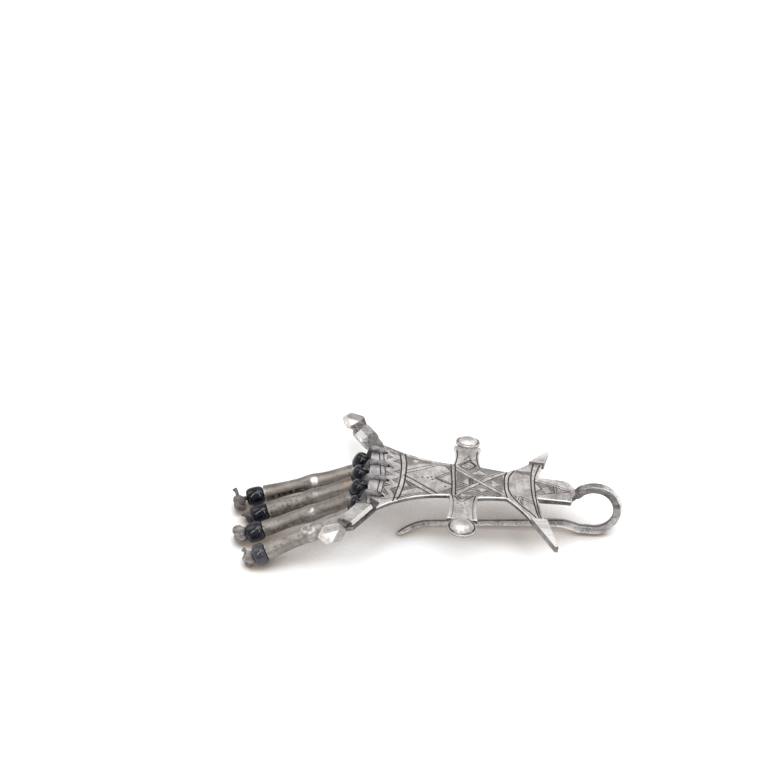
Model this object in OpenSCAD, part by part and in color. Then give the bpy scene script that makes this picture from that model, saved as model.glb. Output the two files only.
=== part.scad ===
// Hand-shaped silver earring with an ear wire, four strung finger tubes and black glass beads.
// It lies on a table, +X towards the ear wire's loop and +Z up, with the table at Z = 0.
// The silver piece is drawn in its own frame (u along the hand, v across it, w out of its front)
// and then leaned into its lying pose.

/* [Lying pose] */
// How far the hand leans towards its far side, in degrees
roll_deg = 14.4; // [0:0.1:20]
// How far the loop end dips, in degrees
pitch_deg = 4.3; // [0:0.1:8]
// How far the hand turns about the vertical, in degrees
yaw_deg = -4; // [-10:0.5:10]
// Height of the plate between the side arms above the table
plate_height = 12.9; // [12.8:0.05:13.2]
// Place of that point along the table
plate_x = 8.9; // [0:0.01:20]
// Place of that point across the table
plate_y = -1.51; // [-5:0.01:5]

/* [Hand plate] */
// Thickness of the silver sheet
sheet_t = 1; // [0.8:0.1:1.2]
// Radius that the sheet is bent to across the hand
bend_r = 92; // [80:1:120]
// Length from the palm edge to the middle of the side arms
palm_l = 21.7; // [21:0.1:23]
// Width of the palm at its corners
palm_w = 28.4; // [27:0.1:30]
// Width of the hand beside the side arms
waist_w = 13.8; // [12:0.1:15]
// Width of a side arm
arm_w = 6.4; // [5:0.1:7]
// Distance of an arm's shoulder from the middle line
arm_reach = 15.3; // [14:0.1:16]
// Distance of a boss's centre from the middle line
boss_reach = 18.3; // [18:0.1:19]
// How far a side arm bends back from the middle of the hand, in degrees
arm_slope = 6; // [3:0.5:9]
// Diameter of a boss's rim
boss_d = 6.6; // [6:0.1:7]
// Height of a boss's dome
boss_rise = 1.8; // [1.5:0.1:2.4]
// Diameter of the holes along the palm edge
hole_d = 1.6; // [1.5:0.1:2]
// Distance of the middle holes from the palm edge
hole_inset = 4.2; // [3.6:0.1:4.5]

/* [Wrist and spikes] */
// Length from the side arms to the end of the wrist
wrist_l = 24.6; // [24:0.1:26]
// Width of the wrist
wrist_w = 9.8; // [9:0.1:10.5]
// Distance of the far spike's tip from the middle line
far_spike_reach = 19.2; // [18:0.1:21]
// Distance of the near spike's tip from the middle line
near_spike_reach = 21.8; // [20:0.1:23]
// Lean of the far spike towards the loop, as its run over its reach
far_spike_lean = 0.3; // [0.2:0.05:0.5]
// Lean of the near spike towards the loop, as its run over its reach
near_spike_lean = 0.46; // [0.2:0.02:0.5]
// Share of a spike's reach that its raised point takes
point_share = 0.4; // [0.35:0.01:0.45]
// Thickness of a spike's raised point
spike_t = 1.9; // [1.5:0.1:2.2]

/* [Thumb prongs] */
// Length of the far thumb to its tip block's centre
far_thumb_l = 13; // [12:0.1:15]
// Length of the near thumb to its tip block's centre
near_thumb_l = 13.8; // [13:0.1:16]
// How far the far thumb bends back, in degrees
far_thumb_slope = 5; // [3:0.5:12]
// How far the near thumb bends back, in degrees
near_thumb_slope = 9.5; // [3:0.5:12]
// Width of a thumb block
block_w = 4.6; // [4:0.1:5]
// Height of a thumb block above the sheet
block_rise = 1.5; // [1:0.1:2]

/* [Ear wire] */
// Width of the squared wire round its loop
loop_wire = 1.7; // [1.4:0.1:1.8]
// Width of the squared wire along its stem
stem_wire = 1.2; // [1:0.1:1.4]
// Radius of the loop at the wire's middle
loop_r = 5.65; // [5.4:0.05:5.8]

/* [Strands] */
// Diameter of a palm bead
palm_bead_d = 4.1; // [3.9:0.1:4.2]
// Diameter of a finger tube at its ends and its knuckle
tube_d = 3.65; // [3.4:0.05:3.8]
// Diameter of a finger tube at its waists
tube_waist_d = 3; // [2.8:0.05:3.2]
// Diameter of a thong
thong_d = 1; // [0.8:0.1:1]
// Diameter of the bore through a bead
bead_bore_d = 1.5; // [1.4:0.05:1.6]

/* [Hidden] */
$fn = 48;
silver = [0.72, 0.69, 0.66];
tube_silver = [0.55, 0.51, 0.47];
black_glass = [0.05, 0.05, 0.06];
thong_grey = [0.36, 0.36, 0.38];
clear = 0.1;
big = 200;

// Points of an arc from a to b that bows by sag to the left of that way
function arc_points(a, b, sag, n = 8) =
    let (half = norm(b - a) / 2,
         r = (half * half + sag * sag) / (2 * abs(sag)),
         way = (b - a) / (2 * half),
         left = [-way[1], way[0]] * sign(sag),
         middle = (a + b) / 2 + left * (abs(sag) - r),
         spread = asin(half / r))
    [for (i = [0:n]) let (t = -spread + 2 * spread * i / n)
        middle + way * r * sin(t) + left * r * cos(t)];

// Height of the bent sheet's front at v across the hand
function sheet_w(v) = sqrt(bend_r * bend_r - v * v) - bend_r;

// Plan outline of the far half, with the hollows of its palm, waist and spike sides
corner_cut = [2.3, 1.6];
palm_hollow = 1.5;
waist_hollow = 0.2;
spike_hollow = 0.35;
spike_root = [9.8, waist_w / 2 - 1];
spike_notch = [16.6, wrist_w / 2 - 0.4];
spike_base_w = 3.6;
// Reach at which a spike's tip would stand over its notch, and its foot's shift to the loop
spike_turn = 11;
spike_shift = 1.5;
// How far the raised point overlaps the sheet's end and stands out beside it
point_lap = 0.03;
point_ledge = 0.3;
far_arm_u = 0.4;
function spike_tip(reach, lean) = [spike_notch[0] + (reach - spike_turn) * lean, reach];
function spike_foot(reach, lean) = spike_tip(reach, lean)[0] - reach * point_share * lean + spike_shift;
function half_outline(reach, lean, arm_u) =
    let (corner = [corner_cut[0] - palm_l, palm_w / 2],
         waist = waist_w / 2,
         base = [spike_foot(reach, lean) - point_ledge, reach * (1 + point_lap - point_share)])
    concat([[-palm_l, 0], [-palm_l, corner[1] - corner_cut[1]], corner],
           arc_points(corner, [arm_u - arm_w / 2, waist], -palm_hollow),
           arc_points([arm_u + arm_w / 2, waist], spike_root, -waist_hollow),
           arc_points(spike_root, base - [spike_base_w - 0.8, 0], -spike_hollow),
           [base, spike_notch, [wrist_l - 6, 0]]);

module half_sheet(reach, lean, arm_u) {
    intersection() {
        translate([0, 0, -big / 4]) linear_extrude(big / 2) polygon(half_outline(reach, lean, arm_u));
        translate([0, 0, -bend_r]) rotate([0, 90, 0]) difference() {
            cylinder(r = bend_r, h = big, center = true, $fn = 180);
            cylinder(r = bend_r - sheet_t, h = big + 1, center = true, $fn = 180);
        }
    }
}

// Side arm: a flat bar with hollowed sides and shoulders, and a domed boss on its neck
arm_hollow = 0.4;
arm_lap = 0.6;
shoulder = 1.1;
module arm(arm_u) {
    root = waist_w / 2;
    reach = arm_reach - root;
    half = arm_w / 2;
    neck = half - shoulder;
    translate([arm_u, root, sheet_w(root)]) rotate([-arm_slope, 0, 0]) {
        translate([0, 0, -sheet_t]) linear_extrude(sheet_t)
            polygon(concat([[-half, -arm_lap]],
                           arc_points([-half, 0], [-half, reach], -arm_hollow),
                           [[-neck, reach], [-neck, boss_reach - root], [neck, boss_reach - root], [neck, reach]],
                           arc_points([half, reach], [half, 0], -arm_hollow),
                           [[half, -arm_lap]]));
        translate([0, boss_reach - root, 0]) boss();
    }
}

// Hollow dome on a thin rim, open at the back
boss_wall = 0.6;
rim_ledge = 0.3;
module boss() {
    base_r = boss_d / 2 - rim_ledge;
    cap_r = (base_r * base_r + boss_rise * boss_rise) / (2 * boss_rise);
    difference() {
        union() {
            translate([0, 0, -boss_wall]) cylinder(d = boss_d, h = boss_wall + 0.1);
            intersection() {
                translate([0, 0, boss_rise - cap_r]) sphere(r = cap_r);
                cylinder(r = boss_d, h = boss_rise + 1);
            }
        }
        translate([0, 0, boss_rise - cap_r - 0.1]) sphere(r = cap_r - boss_wall);
        translate([0, 0, -2 * boss_wall]) cylinder(r = base_r - 2 * boss_wall, h = 2 * boss_wall);
    }
}

// Raised point of a spike, a wedge that narrows from its base to a blunt tip
tip_blunt = [0.5, 0.3];
module spike_point(reach, lean) {
    tip = spike_tip(reach, lean);
    base = reach * point_share;
    foot = spike_foot(reach, lean);
    drop = (sheet_w(reach - base) - sheet_w(reach)) / base;
    translate([0, reach - base, sheet_w(reach - base) + spike_t - sheet_t]) rotate([-atan(drop), 0, 0])
        translate([0, 0, -spike_t]) linear_extrude(spike_t)
            polygon([[foot - spike_base_w, 0], [foot, 0],
                     [tip[0] + tip_blunt[1], base], [tip[0] - tip_blunt[0], base]]);
}

// Wrist, a ridged channel lofted through its sections
SECTION_U = 0;
SECTION_HALF = 1;
SECTION_STRIP = 2;
SECTION_DROP = 3;
SECTION_WALL = 4;
wrist_sections = [[15.4, wrist_w / 2, 3.6, 0.2, 1.1],
                  [17, wrist_w / 2, 3.2, 0.5, 1.1],
                  [wrist_l - 1.6, wrist_w / 2, 0.9, 1, 1.5],
                  [wrist_l, wrist_w / 2 - 1.2, 0.4, 1, 1.8]];
wrist_rim = 0.7;
trough_share = 0.6;
function wrist_ring(s) =
    let (u = s[SECTION_U], half = s[SECTION_HALF], strip = s[SECTION_STRIP],
         drop = s[SECTION_DROP], wall = s[SECTION_WALL], trough = strip * trough_share)
    [[u, half, -drop], [u, strip, 0], [u, -strip, 0], [u, -half, -drop],
     [u, -half, -drop - wrist_rim], [u, -trough, -wall],
     [u, trough, -wall], [u, half, -drop - wrist_rim]];

// Closed solid through rings of equal length, each wound clockwise as seen along the path
module loft(rings) {
    count = len(rings[0]);
    last = len(rings) - 1;
    polyhedron(
        points = [for (ring = rings) each ring],
        faces = concat(
            [[for (j = [0:count - 1]) j]],
            [[for (j = [count - 1:-1:0]) last * count + j]],
            [for (i = [0:last - 1]) for (j = [0:count - 1])
                let (a = i * count + j, b = i * count + (j + 1) % count)
                each [[a, b + count, b], [a, a + count, b + count]]]),
        convexity = 6);
}

module wrist() {
    loft([for (s = wrist_sections) wrist_ring(s)]);
}

// Block with its edges cut at 45 degrees
module cut_block(l, w, h, cut) {
    root2 = sqrt(2);
    intersection() {
        cube([l, w, 2 * h], center = true);
        rotate([45, 0, 0]) cube([2 * l, (w / 2 + h - cut) * root2, (w / 2 + h - cut) * root2], center = true);
        rotate([0, 45, 0]) cube([(l / 2 + h - cut) * root2, 2 * w, (l / 2 + h - cut) * root2], center = true);
        rotate([0, 0, 45]) cube([(l / 2 + w / 2 - cut) * root2, (l / 2 + w / 2 - cut) * root2, 4 * h], center = true);
    }
}

// Thumb prong: a flat bar of sheet under a long gabled block and a cut tip block.
// The bar's plan, each row its share of the length and its half width.
thumb_root = [0.7 - palm_l, palm_w / 2 - 1.4];
thumb_bar = [[-0.11, 1.6], [0.1, block_w / 2], [0.66, block_w / 2], [0.74, 1.3], [0.93, 1.5]];
first_block = 0.52;
first_block_middle = 0.4;
bridge = [0.3, 2.2, 1];
bridge_middle = 0.7;
tip_block_l = 5.2;
block_cut = 1;
module thumb(length, turn, slope) {
    translate([thumb_root[0], thumb_root[1], sheet_w(thumb_root[1])])
        rotate([0, 0, turn]) rotate([0, slope, 0]) {
            translate([0, 0, -sheet_t]) linear_extrude(sheet_t)
                polygon(concat([for (p = thumb_bar) [p[0] * length, -p[1]]],
                               [for (i = [len(thumb_bar) - 1:-1:0]) [thumb_bar[i][0] * length, thumb_bar[i][1]]]));
            intersection() {
                translate([length * first_block_middle, 0, 0])
                    cut_block(length * first_block, block_w, block_rise, block_cut);
                translate([0, -block_w, -sheet_t / 2]) cube([big, 2 * block_w, big]);
            }
            translate([length * bridge_middle, 0, 0])
                cube([length * bridge[0], bridge[1], bridge[2]], center = true);
            intersection() {
                translate([length, 0, 0]) cut_block(tip_block_l, block_w, block_rise, block_cut);
                translate([0, -block_w, -sheet_t]) cube([big, 2 * block_w, big]);
            }
        }
}

// Squared wire: its middle, its width across the hand and its thickness
WIRE_PLACE = 0;
WIRE_WIDE = 1;
WIRE_THICK = 2;
loop_u = 30.1;
loop_w = -4.35;
loop_steps = 16;
loop_from = 128;
loop_to = -98;
wire_path = concat(
    [[[wrist_l - 2, 0, -1], 3, 0.8],
     [[wrist_l + 0.4, 0, -0.95], 3, 1.2],
     [[26, 0, -0.75], 2, loop_wire]],
    [for (i = [0:loop_steps]) let (a = loop_from + (loop_to - loop_from) * i / loop_steps)
        [[loop_u + loop_r * cos(a), 0, loop_w + loop_r * sin(a)], loop_wire, loop_wire]],
    [[[27.6, 0, -9.8], 1.6, 1.6],
     [[26, 0, -9.4], 1.5, 1.5],
     [[24.4, 0, -9.05], 1.4, 1.4],
     [[22.4, 0, -8.95], 1.3, 1.3],
     [[18, 0, -9.35], stem_wire, stem_wire],
     [[1.3, 0, -11.45], stem_wire, stem_wire],
     [[-7, 0, -12.45], stem_wire, stem_wire],
     [[-8.6, -0.3, -12.75], stem_wire, stem_wire],
     [[-10.2, -0.9, -13.3], 1.15, 1.15],
     [[-13.9, -2.9, -14.6], 0.9, 0.9]]);

// Section with its corners cut off, square to the path at step i
function wire_ring(i) =
    let (before = wire_path[max(i - 1, 0)][WIRE_PLACE],
         after = wire_path[min(i + 1, len(wire_path) - 1)][WIRE_PLACE],
         way = (after - before) / norm(after - before),
         out_raw = cross(way, [0, 1, 0]),
         out = out_raw / norm(out_raw),
         side = cross(out, way),
         half_wide = wire_path[i][WIRE_WIDE] / 2,
         half_thick = wire_path[i][WIRE_THICK] / 2,
         corner = 0.62)
    [for (c = [[1, -corner], [1, corner], [corner, 1], [-corner, 1],
               [-1, corner], [-1, -corner], [-corner, -1], [corner, -1]])
        wire_path[i][WIRE_PLACE] + side * half_wide * c[0] + out * half_thick * c[1]];

module ear_wire() {
    loft([for (i = [0:len(wire_path) - 1]) wire_ring(i)]);
}

// Turns and moves from the hand's own frame to the table's
function turn_x(p, a) = [p[0], p[1] * cos(a) - p[2] * sin(a), p[1] * sin(a) + p[2] * cos(a)];
function turn_y(p, a) = [p[0] * cos(a) + p[2] * sin(a), p[1], -p[0] * sin(a) + p[2] * cos(a)];
function turn_z(p, a) = [p[0] * cos(a) - p[1] * sin(a), p[0] * sin(a) + p[1] * cos(a), p[2]];
function turned(p) = turn_z(turn_y(turn_x(p, -roll_deg), pitch_deg), yaw_deg);
function placed(p) = [plate_x, plate_y, plate_height] + turned(p);

module in_pose() {
    translate([plate_x, plate_y, plate_height]) rotate([-roll_deg, pitch_deg, yaw_deg]) children();
}

// Strands, a row each from the far side to the near side: hole across the hand, hole's extra inset,
// tip bead's place from the plate's point and height over the table, its diameter and its length
HOLE_V = 0;
HOLE_BACK = 1;
TIP_X = 2;
TIP_Y = 3;
TIP_Z = 4;
TIP_D = 5;
TIP_LONG = 6;
strands = [[9.4, -0.8, -48.2, 5.2, 2.35, 4.3, 4.1],
           [3, 0, -47, -0.4, 2.37, 4.2, 4.1],
           [-3.4, 0, -47.9, -6.7, 2.68, 4.7, 4.2],
           [-9.7, -0.8, -46.5, -14, 2.88, 5, 3.4]];
tip_bead_bulge = 1.16;

function unit(p) = p / norm(p);
palm_bead_long = 3.6;
palm_bead_out = 2.3;
palm_bead_down = 3.2;
function palm_bead_at(i) =
    placed([-palm_l - palm_bead_out, strands[i][HOLE_V], sheet_w(strands[i][HOLE_V]) - palm_bead_down]);
function tip_bead_at(i) = [plate_x + strands[i][TIP_X], plate_y + strands[i][TIP_Y], strands[i][TIP_Z]];
function rough_way(i) = unit(palm_bead_at(i) - tip_bead_at(i));
palm_bead_lift = 1.5;
tube_gap = 3.1;
function palm_bead_way(i) = unit(rough_way(i) + palm_bead_lift * turned([0, 0, 1]));
function tube_end(i) = palm_bead_at(i) - tube_gap * palm_bead_way(i);
function tube_way(i) = unit(tube_end(i) - tip_bead_at(i));
function tube_start(i) = tip_bead_at(i) + tube_way(i) * (strands[i][TIP_LONG] / 2 + clear);
function tube_length(i) = norm(tube_end(i) - tube_start(i));

// Stands children with their Z along way at place
module along(place, way) {
    translate(place) rotate([0, acos(way[2]), atan2(way[1], way[0])]) children();
}

// Bead: a drilled barrel
module bead(d, long, bulge) {
    difference() {
        intersection() {
            sphere(d = bulge);
            cylinder(d = d, h = long, center = true);
        }
        cylinder(d = bead_bore_d, h = long + 1, center = true);
    }
}

// Finger tube: ends, waists and a knuckle as parts of its length and of its swell
tube_wall_bore = 2.3;
tube_profile = [[0, 0.9], [0.015, 1], [0.06, 0.94], [0.16, 0.45], [0.3, 0.1], [0.4, 0.2], [0.45, 0.55],
                [0.485, 0.98], [0.5, 1], [0.515, 0.98], [0.55, 0.55], [0.6, 0.2], [0.7, 0.1],
                [0.84, 0.45], [0.94, 0.94], [0.985, 1], [1, 0.9]];
module finger_tube(i) {
    long = tube_length(i);
    swell = (tube_d - tube_waist_d) / 2;
    color(tube_silver) along(tube_start(i), tube_way(i)) difference() {
        rotate_extrude() polygon(concat(
            [[0, 0]],
            [for (p = tube_profile) [tube_waist_d / 2 + swell * p[1], long * p[0]]],
            [[0, long]]));
        translate([0, 0, -1]) cylinder(d = tube_wall_bore, h = long + 2);
    }
}

module palm_bead(i) {
    color(black_glass) along(palm_bead_at(i), palm_bead_way(i)) bead(palm_bead_d, palm_bead_long, palm_bead_d);
}

module tip_bead(i) {
    color(black_glass) along(tip_bead_at(i), tube_way(i))
        bead(strands[i][TIP_D], strands[i][TIP_LONG], strands[i][TIP_D] * tip_bead_bulge);
}

// Round thong swept along places on the table's frame, its seam held to the hand's cross axis
thong_sides = 8;
function thong_ring(path, i) =
    let (way = unit(path[min(i + 1, len(path) - 1)] - path[max(i - 1, 0)]),
         out = unit(cross(way, turned([0, 1, 0]))),
         side = cross(out, way))
    [for (j = [0:thong_sides - 1]) let (a = 360 * j / thong_sides)
        path[i] + (side * cos(a) + out * sin(a)) * thong_d / 2];
module thong_tube(path) {
    loft([for (i = [0:len(path) - 1]) thong_ring(path, i)]);
}

// Each leg's run at the palm: its place from the palm edge or the hole, and its height over the sheet
proud = thong_d / 2 + clear;
over_edge = [[-proud - 0.1, -0.1], [-0.2, proud], [1.6, proud]];
into_hole = [[-0.8, proud], [-0.1, proud * 0.6], [0, -sheet_t / 2], [-0.1, -sheet_t - 0.4]];
out_of_hole = [[0, -sheet_t * 0.8], [-0.25, -sheet_t - 0.5], [-1.2, -sheet_t - proud - 0.2]];
under_edge = [[0.6, -sheet_t - proud - 0.3]];
bead_mouth = 2.38;
bead_foot = 1.9;
knot_d = 3;
knot_lap = 0.1;
tail_d = 0.8;
tail_l = 2.4;
tail_rise = 20;
tail_fan = 20;
function hole_u(i) = -palm_l + hole_inset + strands[i][HOLE_BACK];
function near_palm(i, from, run) =
    [for (p = run) placed([from + p[0], strands[i][HOLE_V], sheet_w(strands[i][HOLE_V]) + p[1]])];
function knot_at(i) = tip_bead_at(i) - tube_way(i) * ((strands[i][TIP_LONG] + knot_d) / 2 - knot_lap);

module thong(i) {
    mouth = palm_bead_at(i) + palm_bead_way(i) * bead_mouth;
    half_bead = tube_way(i) * strands[i][TIP_LONG] / 2;
    knot = [knot_at(i)[0], knot_at(i)[1], knot_d / 2 + clear];
    color(thong_grey) {
        thong_tube(concat(
            [knot, tip_bead_at(i) - half_bead, tip_bead_at(i) + half_bead, tube_end(i) - tube_way(i),
             palm_bead_at(i) - palm_bead_way(i) * bead_foot, mouth],
            near_palm(i, -palm_l, over_edge),
            near_palm(i, hole_u(i), into_hole)));
        thong_tube(concat(
            near_palm(i, hole_u(i), out_of_hole),
            near_palm(i, -palm_l, under_edge),
            [mouth]));
        translate(knot) rotate([0, 0, 90]) sphere(d = knot_d, $fn = 24);
        translate(knot) rotate([0, tail_rise - 90, tail_fan * (i - 1)]) cylinder(d = tail_d, h = tail_l, $fn = 16);
    }
}

module hand_plate() {
    color(silver) in_pose() {
        difference() {
            union() {
                half_sheet(far_spike_reach, far_spike_lean, far_arm_u);
                mirror([0, 1, 0]) half_sheet(near_spike_reach, near_spike_lean, 0);
                wrist();
            }
            for (i = [0:3])
                translate([hole_u(i), strands[i][HOLE_V], -3]) cylinder(d = hole_d, h = 6);
        }
        arm(far_arm_u);
        mirror([0, 1, 0]) arm(0);
        spike_point(far_spike_reach, far_spike_lean);
        mirror([0, 1, 0]) spike_point(near_spike_reach, near_spike_lean);
        thumb(far_thumb_l, 115, far_thumb_slope);
        mirror([0, 1, 0]) thumb(near_thumb_l, 124, near_thumb_slope);
        ear_wire();
    }
}

hand_plate();
finger_tube(0);  // finger_tube_1
finger_tube(1);  // finger_tube_2
finger_tube(2);  // finger_tube_3
finger_tube(3);  // finger_tube_4
palm_bead(0);  // palm_bead_1
palm_bead(1);  // palm_bead_2
palm_bead(2);  // palm_bead_3
palm_bead(3);  // palm_bead_4
tip_bead(0);  // tip_bead_1
tip_bead(1);  // tip_bead_2
tip_bead(2);  // tip_bead_3
tip_bead(3);  // tip_bead_4
thong(0);  // thong_1
thong(1);  // thong_2
thong(2);  // thong_3
thong(3);  // thong_4
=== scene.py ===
import math

import bmesh
import bpy
import numpy as np
from mathutils import Matrix, Vector, geometry, noise


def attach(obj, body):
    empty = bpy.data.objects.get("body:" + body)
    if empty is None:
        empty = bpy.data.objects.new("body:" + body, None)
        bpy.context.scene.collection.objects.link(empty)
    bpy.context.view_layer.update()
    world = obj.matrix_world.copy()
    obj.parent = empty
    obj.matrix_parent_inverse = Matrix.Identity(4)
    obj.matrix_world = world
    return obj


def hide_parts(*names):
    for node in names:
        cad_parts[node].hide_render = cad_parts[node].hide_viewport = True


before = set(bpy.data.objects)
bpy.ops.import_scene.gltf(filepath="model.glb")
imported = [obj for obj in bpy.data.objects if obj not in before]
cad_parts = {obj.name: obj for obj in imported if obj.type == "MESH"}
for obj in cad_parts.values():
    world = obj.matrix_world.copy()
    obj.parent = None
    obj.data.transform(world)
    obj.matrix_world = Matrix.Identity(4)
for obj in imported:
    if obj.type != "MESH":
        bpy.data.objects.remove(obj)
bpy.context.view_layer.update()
mm = 0.001
print("frame loaded")


def moved(u, v, w):
    # by so many millimetres
    return Matrix.Translation(Vector((u, v, w)) * mm)


def spun(degrees, axis):
    return Matrix.Rotation(math.radians(degrees), 4, axis)


def unit(x):
    # kept between 0 and 1
    return max(0.0, min(1.0, x))


# Where the hand lies: the same numbers as in the part's source, in millimetres and degrees
pose = {"roll": 14.4, "pitch": 4.3, "yaw": -4.0, "place": (8.9, -1.51, 12.9)}
handTurn = spun(pose["yaw"], "Z") @ spun(pose["pitch"], "Y") @ spun(-pose["roll"], "X")
handPlace = moved(*pose["place"]) @ handTurn


def inHand(u, v, w):
    # hand coordinates in millimetres to the table's, in metres
    return handPlace @ (Vector((u, v, w)) * mm)


def turned(u, v, w):
    return handTurn @ Vector((u, v, w))


# The camera as in the photo: lens and sensor in millimetres, tilt in degrees, place in millimetres
camera = {"lens": 150.0, "sensor": 36.0, "tilt": 46.5, "place": (-9.505, -516.633, 531.851)}


def makeCamera():
    data = bpy.data.cameras.new("tableCamera")
    data.lens = camera["lens"]
    data.sensor_width = camera["sensor"]
    data.clip_start = 0.05
    data.clip_end = 20.0
    cam = bpy.data.objects.new("tableCamera", data)
    cam.location = Vector(camera["place"]) * mm
    cam.rotation_euler = (math.radians(camera["tilt"]), 0.0, 0.0)
    bpy.context.scene.collection.objects.link(cam)
    bpy.context.scene.camera = cam


makeCamera()


def addNode(tree, kind, **values):
    n = tree.nodes.new(kind)
    for key, value in values.items():
        if key.startswith("in_"):
            n.inputs[int(key[3:])].default_value = value
        else:
            setattr(n, key, value)
    return n


def wire(tree, *pairs):
    for a, b in pairs:
        tree.links.new(a, b)


def startMaterial(name):
    mat = bpy.data.materials.new(name)
    mat.use_nodes = True
    t = mat.node_tree
    t.nodes.clear()
    shader = addNode(t, "ShaderNodeBsdfPrincipled")
    out = addNode(t, "ShaderNodeOutputMaterial")
    wire(t, (shader.outputs[0], out.inputs[0]))
    return mat, t, shader


def objectCoords(t):
    return addNode(t, "ShaderNodeTexCoord").outputs["Object"]


def noiseOf(t, coords, scale, detail=3.0, rough=0.55, stretch=None):
    if stretch:
        m = addNode(t, "ShaderNodeMapping")
        m.inputs["Scale"].default_value = stretch
        wire(t, (coords, m.inputs[0]))
        coords = m.outputs[0]
    n = addNode(t, "ShaderNodeTexNoise")
    n.inputs["Scale"].default_value = scale
    n.inputs["Detail"].default_value = detail
    n.inputs["Roughness"].default_value = rough
    wire(t, (coords, n.inputs["Vector"]))
    return n.outputs["Fac"]


def rangeOf(t, value, a, b, c=0.0, d=1.0):
    n = addNode(t, "ShaderNodeMapRange")
    n.inputs["From Min"].default_value = a
    n.inputs["From Max"].default_value = b
    n.inputs["To Min"].default_value = c
    n.inputs["To Max"].default_value = d
    wire(t, (value, n.inputs["Value"]))
    return n.outputs["Result"]


def mathOf(t, kind, a, b=None, clamp=False):
    n = addNode(t, "ShaderNodeMath", operation=kind, use_clamp=clamp)
    for i, x in enumerate((a, b)):
        if x is None:
            continue
        if isinstance(x, (int, float)):
            n.inputs[i].default_value = x
        else:
            wire(t, (x, n.inputs[i]))
    return n.outputs[0]


def times(t, a, b, clamp=False):
    return mathOf(t, "MULTIPLY", a, b, clamp)


def plus(t, a, b, clamp=False):
    return mathOf(t, "ADD", a, b, clamp)


def minus(t, a, b, clamp=False):
    return mathOf(t, "SUBTRACT", a, b, clamp)


def higher(t, a, b, clamp=False):
    return mathOf(t, "MAXIMUM", a, b, clamp)


def mixColor(t, amount, a, b, blend="MIX"):
    n = addNode(t, "ShaderNodeMix", data_type="RGBA", blend_type=blend)
    for socket, x in ((n.inputs[0], amount), (n.inputs[6], a), (n.inputs[7], b)):
        if isinstance(x, (int, float)):
            socket.default_value = x
        elif isinstance(x, tuple):
            socket.default_value = (*x, 1.0)
        else:
            wire(t, (x, socket))
    return n.outputs[2]


def bumpOf(t, shader, height, strength, distance):
    n = addNode(t, "ShaderNodeBump")
    n.inputs["Strength"].default_value = strength
    n.inputs["Distance"].default_value = distance
    wire(t, (height, n.inputs["Height"]), (n.outputs[0], shader.inputs["Normal"]))


def attributeOf(t, name):
    return addNode(t, "ShaderNodeAttribute", attribute_name=name).outputs["Fac"]


silverLook = {
    # edge: polished rims and painted highlights; patina: the engraved hollows; the side colour: patina and painted
    # shade
    "edge": (0.93, 0.91, 0.89), "patina": (0.034, 0.026, 0.023), "patinaAndShade": (0.034, 0.028, 0.026),
    # noise scales: clouds of wear, scratches, grain and stains
    "cloud": 260.0, "scratch": 900.0, "fine": 2600.0, "spots": 620.0,
    # millimetres between the hatching's strokes, how much they waver, and the size that the UV map stands for
    "hatchStep": 0.62, "waver": 2.6, "mapSize": 60.0,
}
silverKinds = {
    # the grain stretches the scratches along x, y and z
    "engravedSilver": {"bright": (0.90, 0.86, 0.845), "worn": (0.46, 0.43, 0.415), "rough": 0.42,
                       "grain": (1.0, 0.25, 1.0), "stain": 0.30, "shine": 1.0},
    "filedSilver": {"bright": (0.88, 0.85, 0.83), "worn": (0.42, 0.395, 0.38), "rough": 0.27,
                    "grain": (0.3, 1.0, 1.0), "stain": 0.6, "shine": 1.0},
    "spikeSilver": {"bright": (0.94, 0.92, 0.905), "worn": (0.68, 0.655, 0.64), "rough": 0.38,
                    "grain": (0.3, 1.0, 1.0), "stain": 0.3, "shine": 0.7},
    "knobSilver": {"bright": (0.88, 0.85, 0.83), "worn": (0.50, 0.47, 0.455), "rough": 0.46,
                   "grain": (0.3, 1.0, 1.0), "stain": 0.6, "shine": 1.0},
    "bossSilver": {"bright": (0.82, 0.79, 0.775), "worn": (0.50, 0.47, 0.455), "rough": 0.48,
                   "grain": (1.0, 1.0, 1.0), "stain": 0.35, "shine": 1.0},
    "wireSilver": {"bright": (0.92, 0.89, 0.875), "worn": (0.37, 0.345, 0.33), "rough": 0.33,
                   "grain": (0.25, 1.0, 1.0), "stain": 0.6, "shine": 1.0},
}


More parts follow.
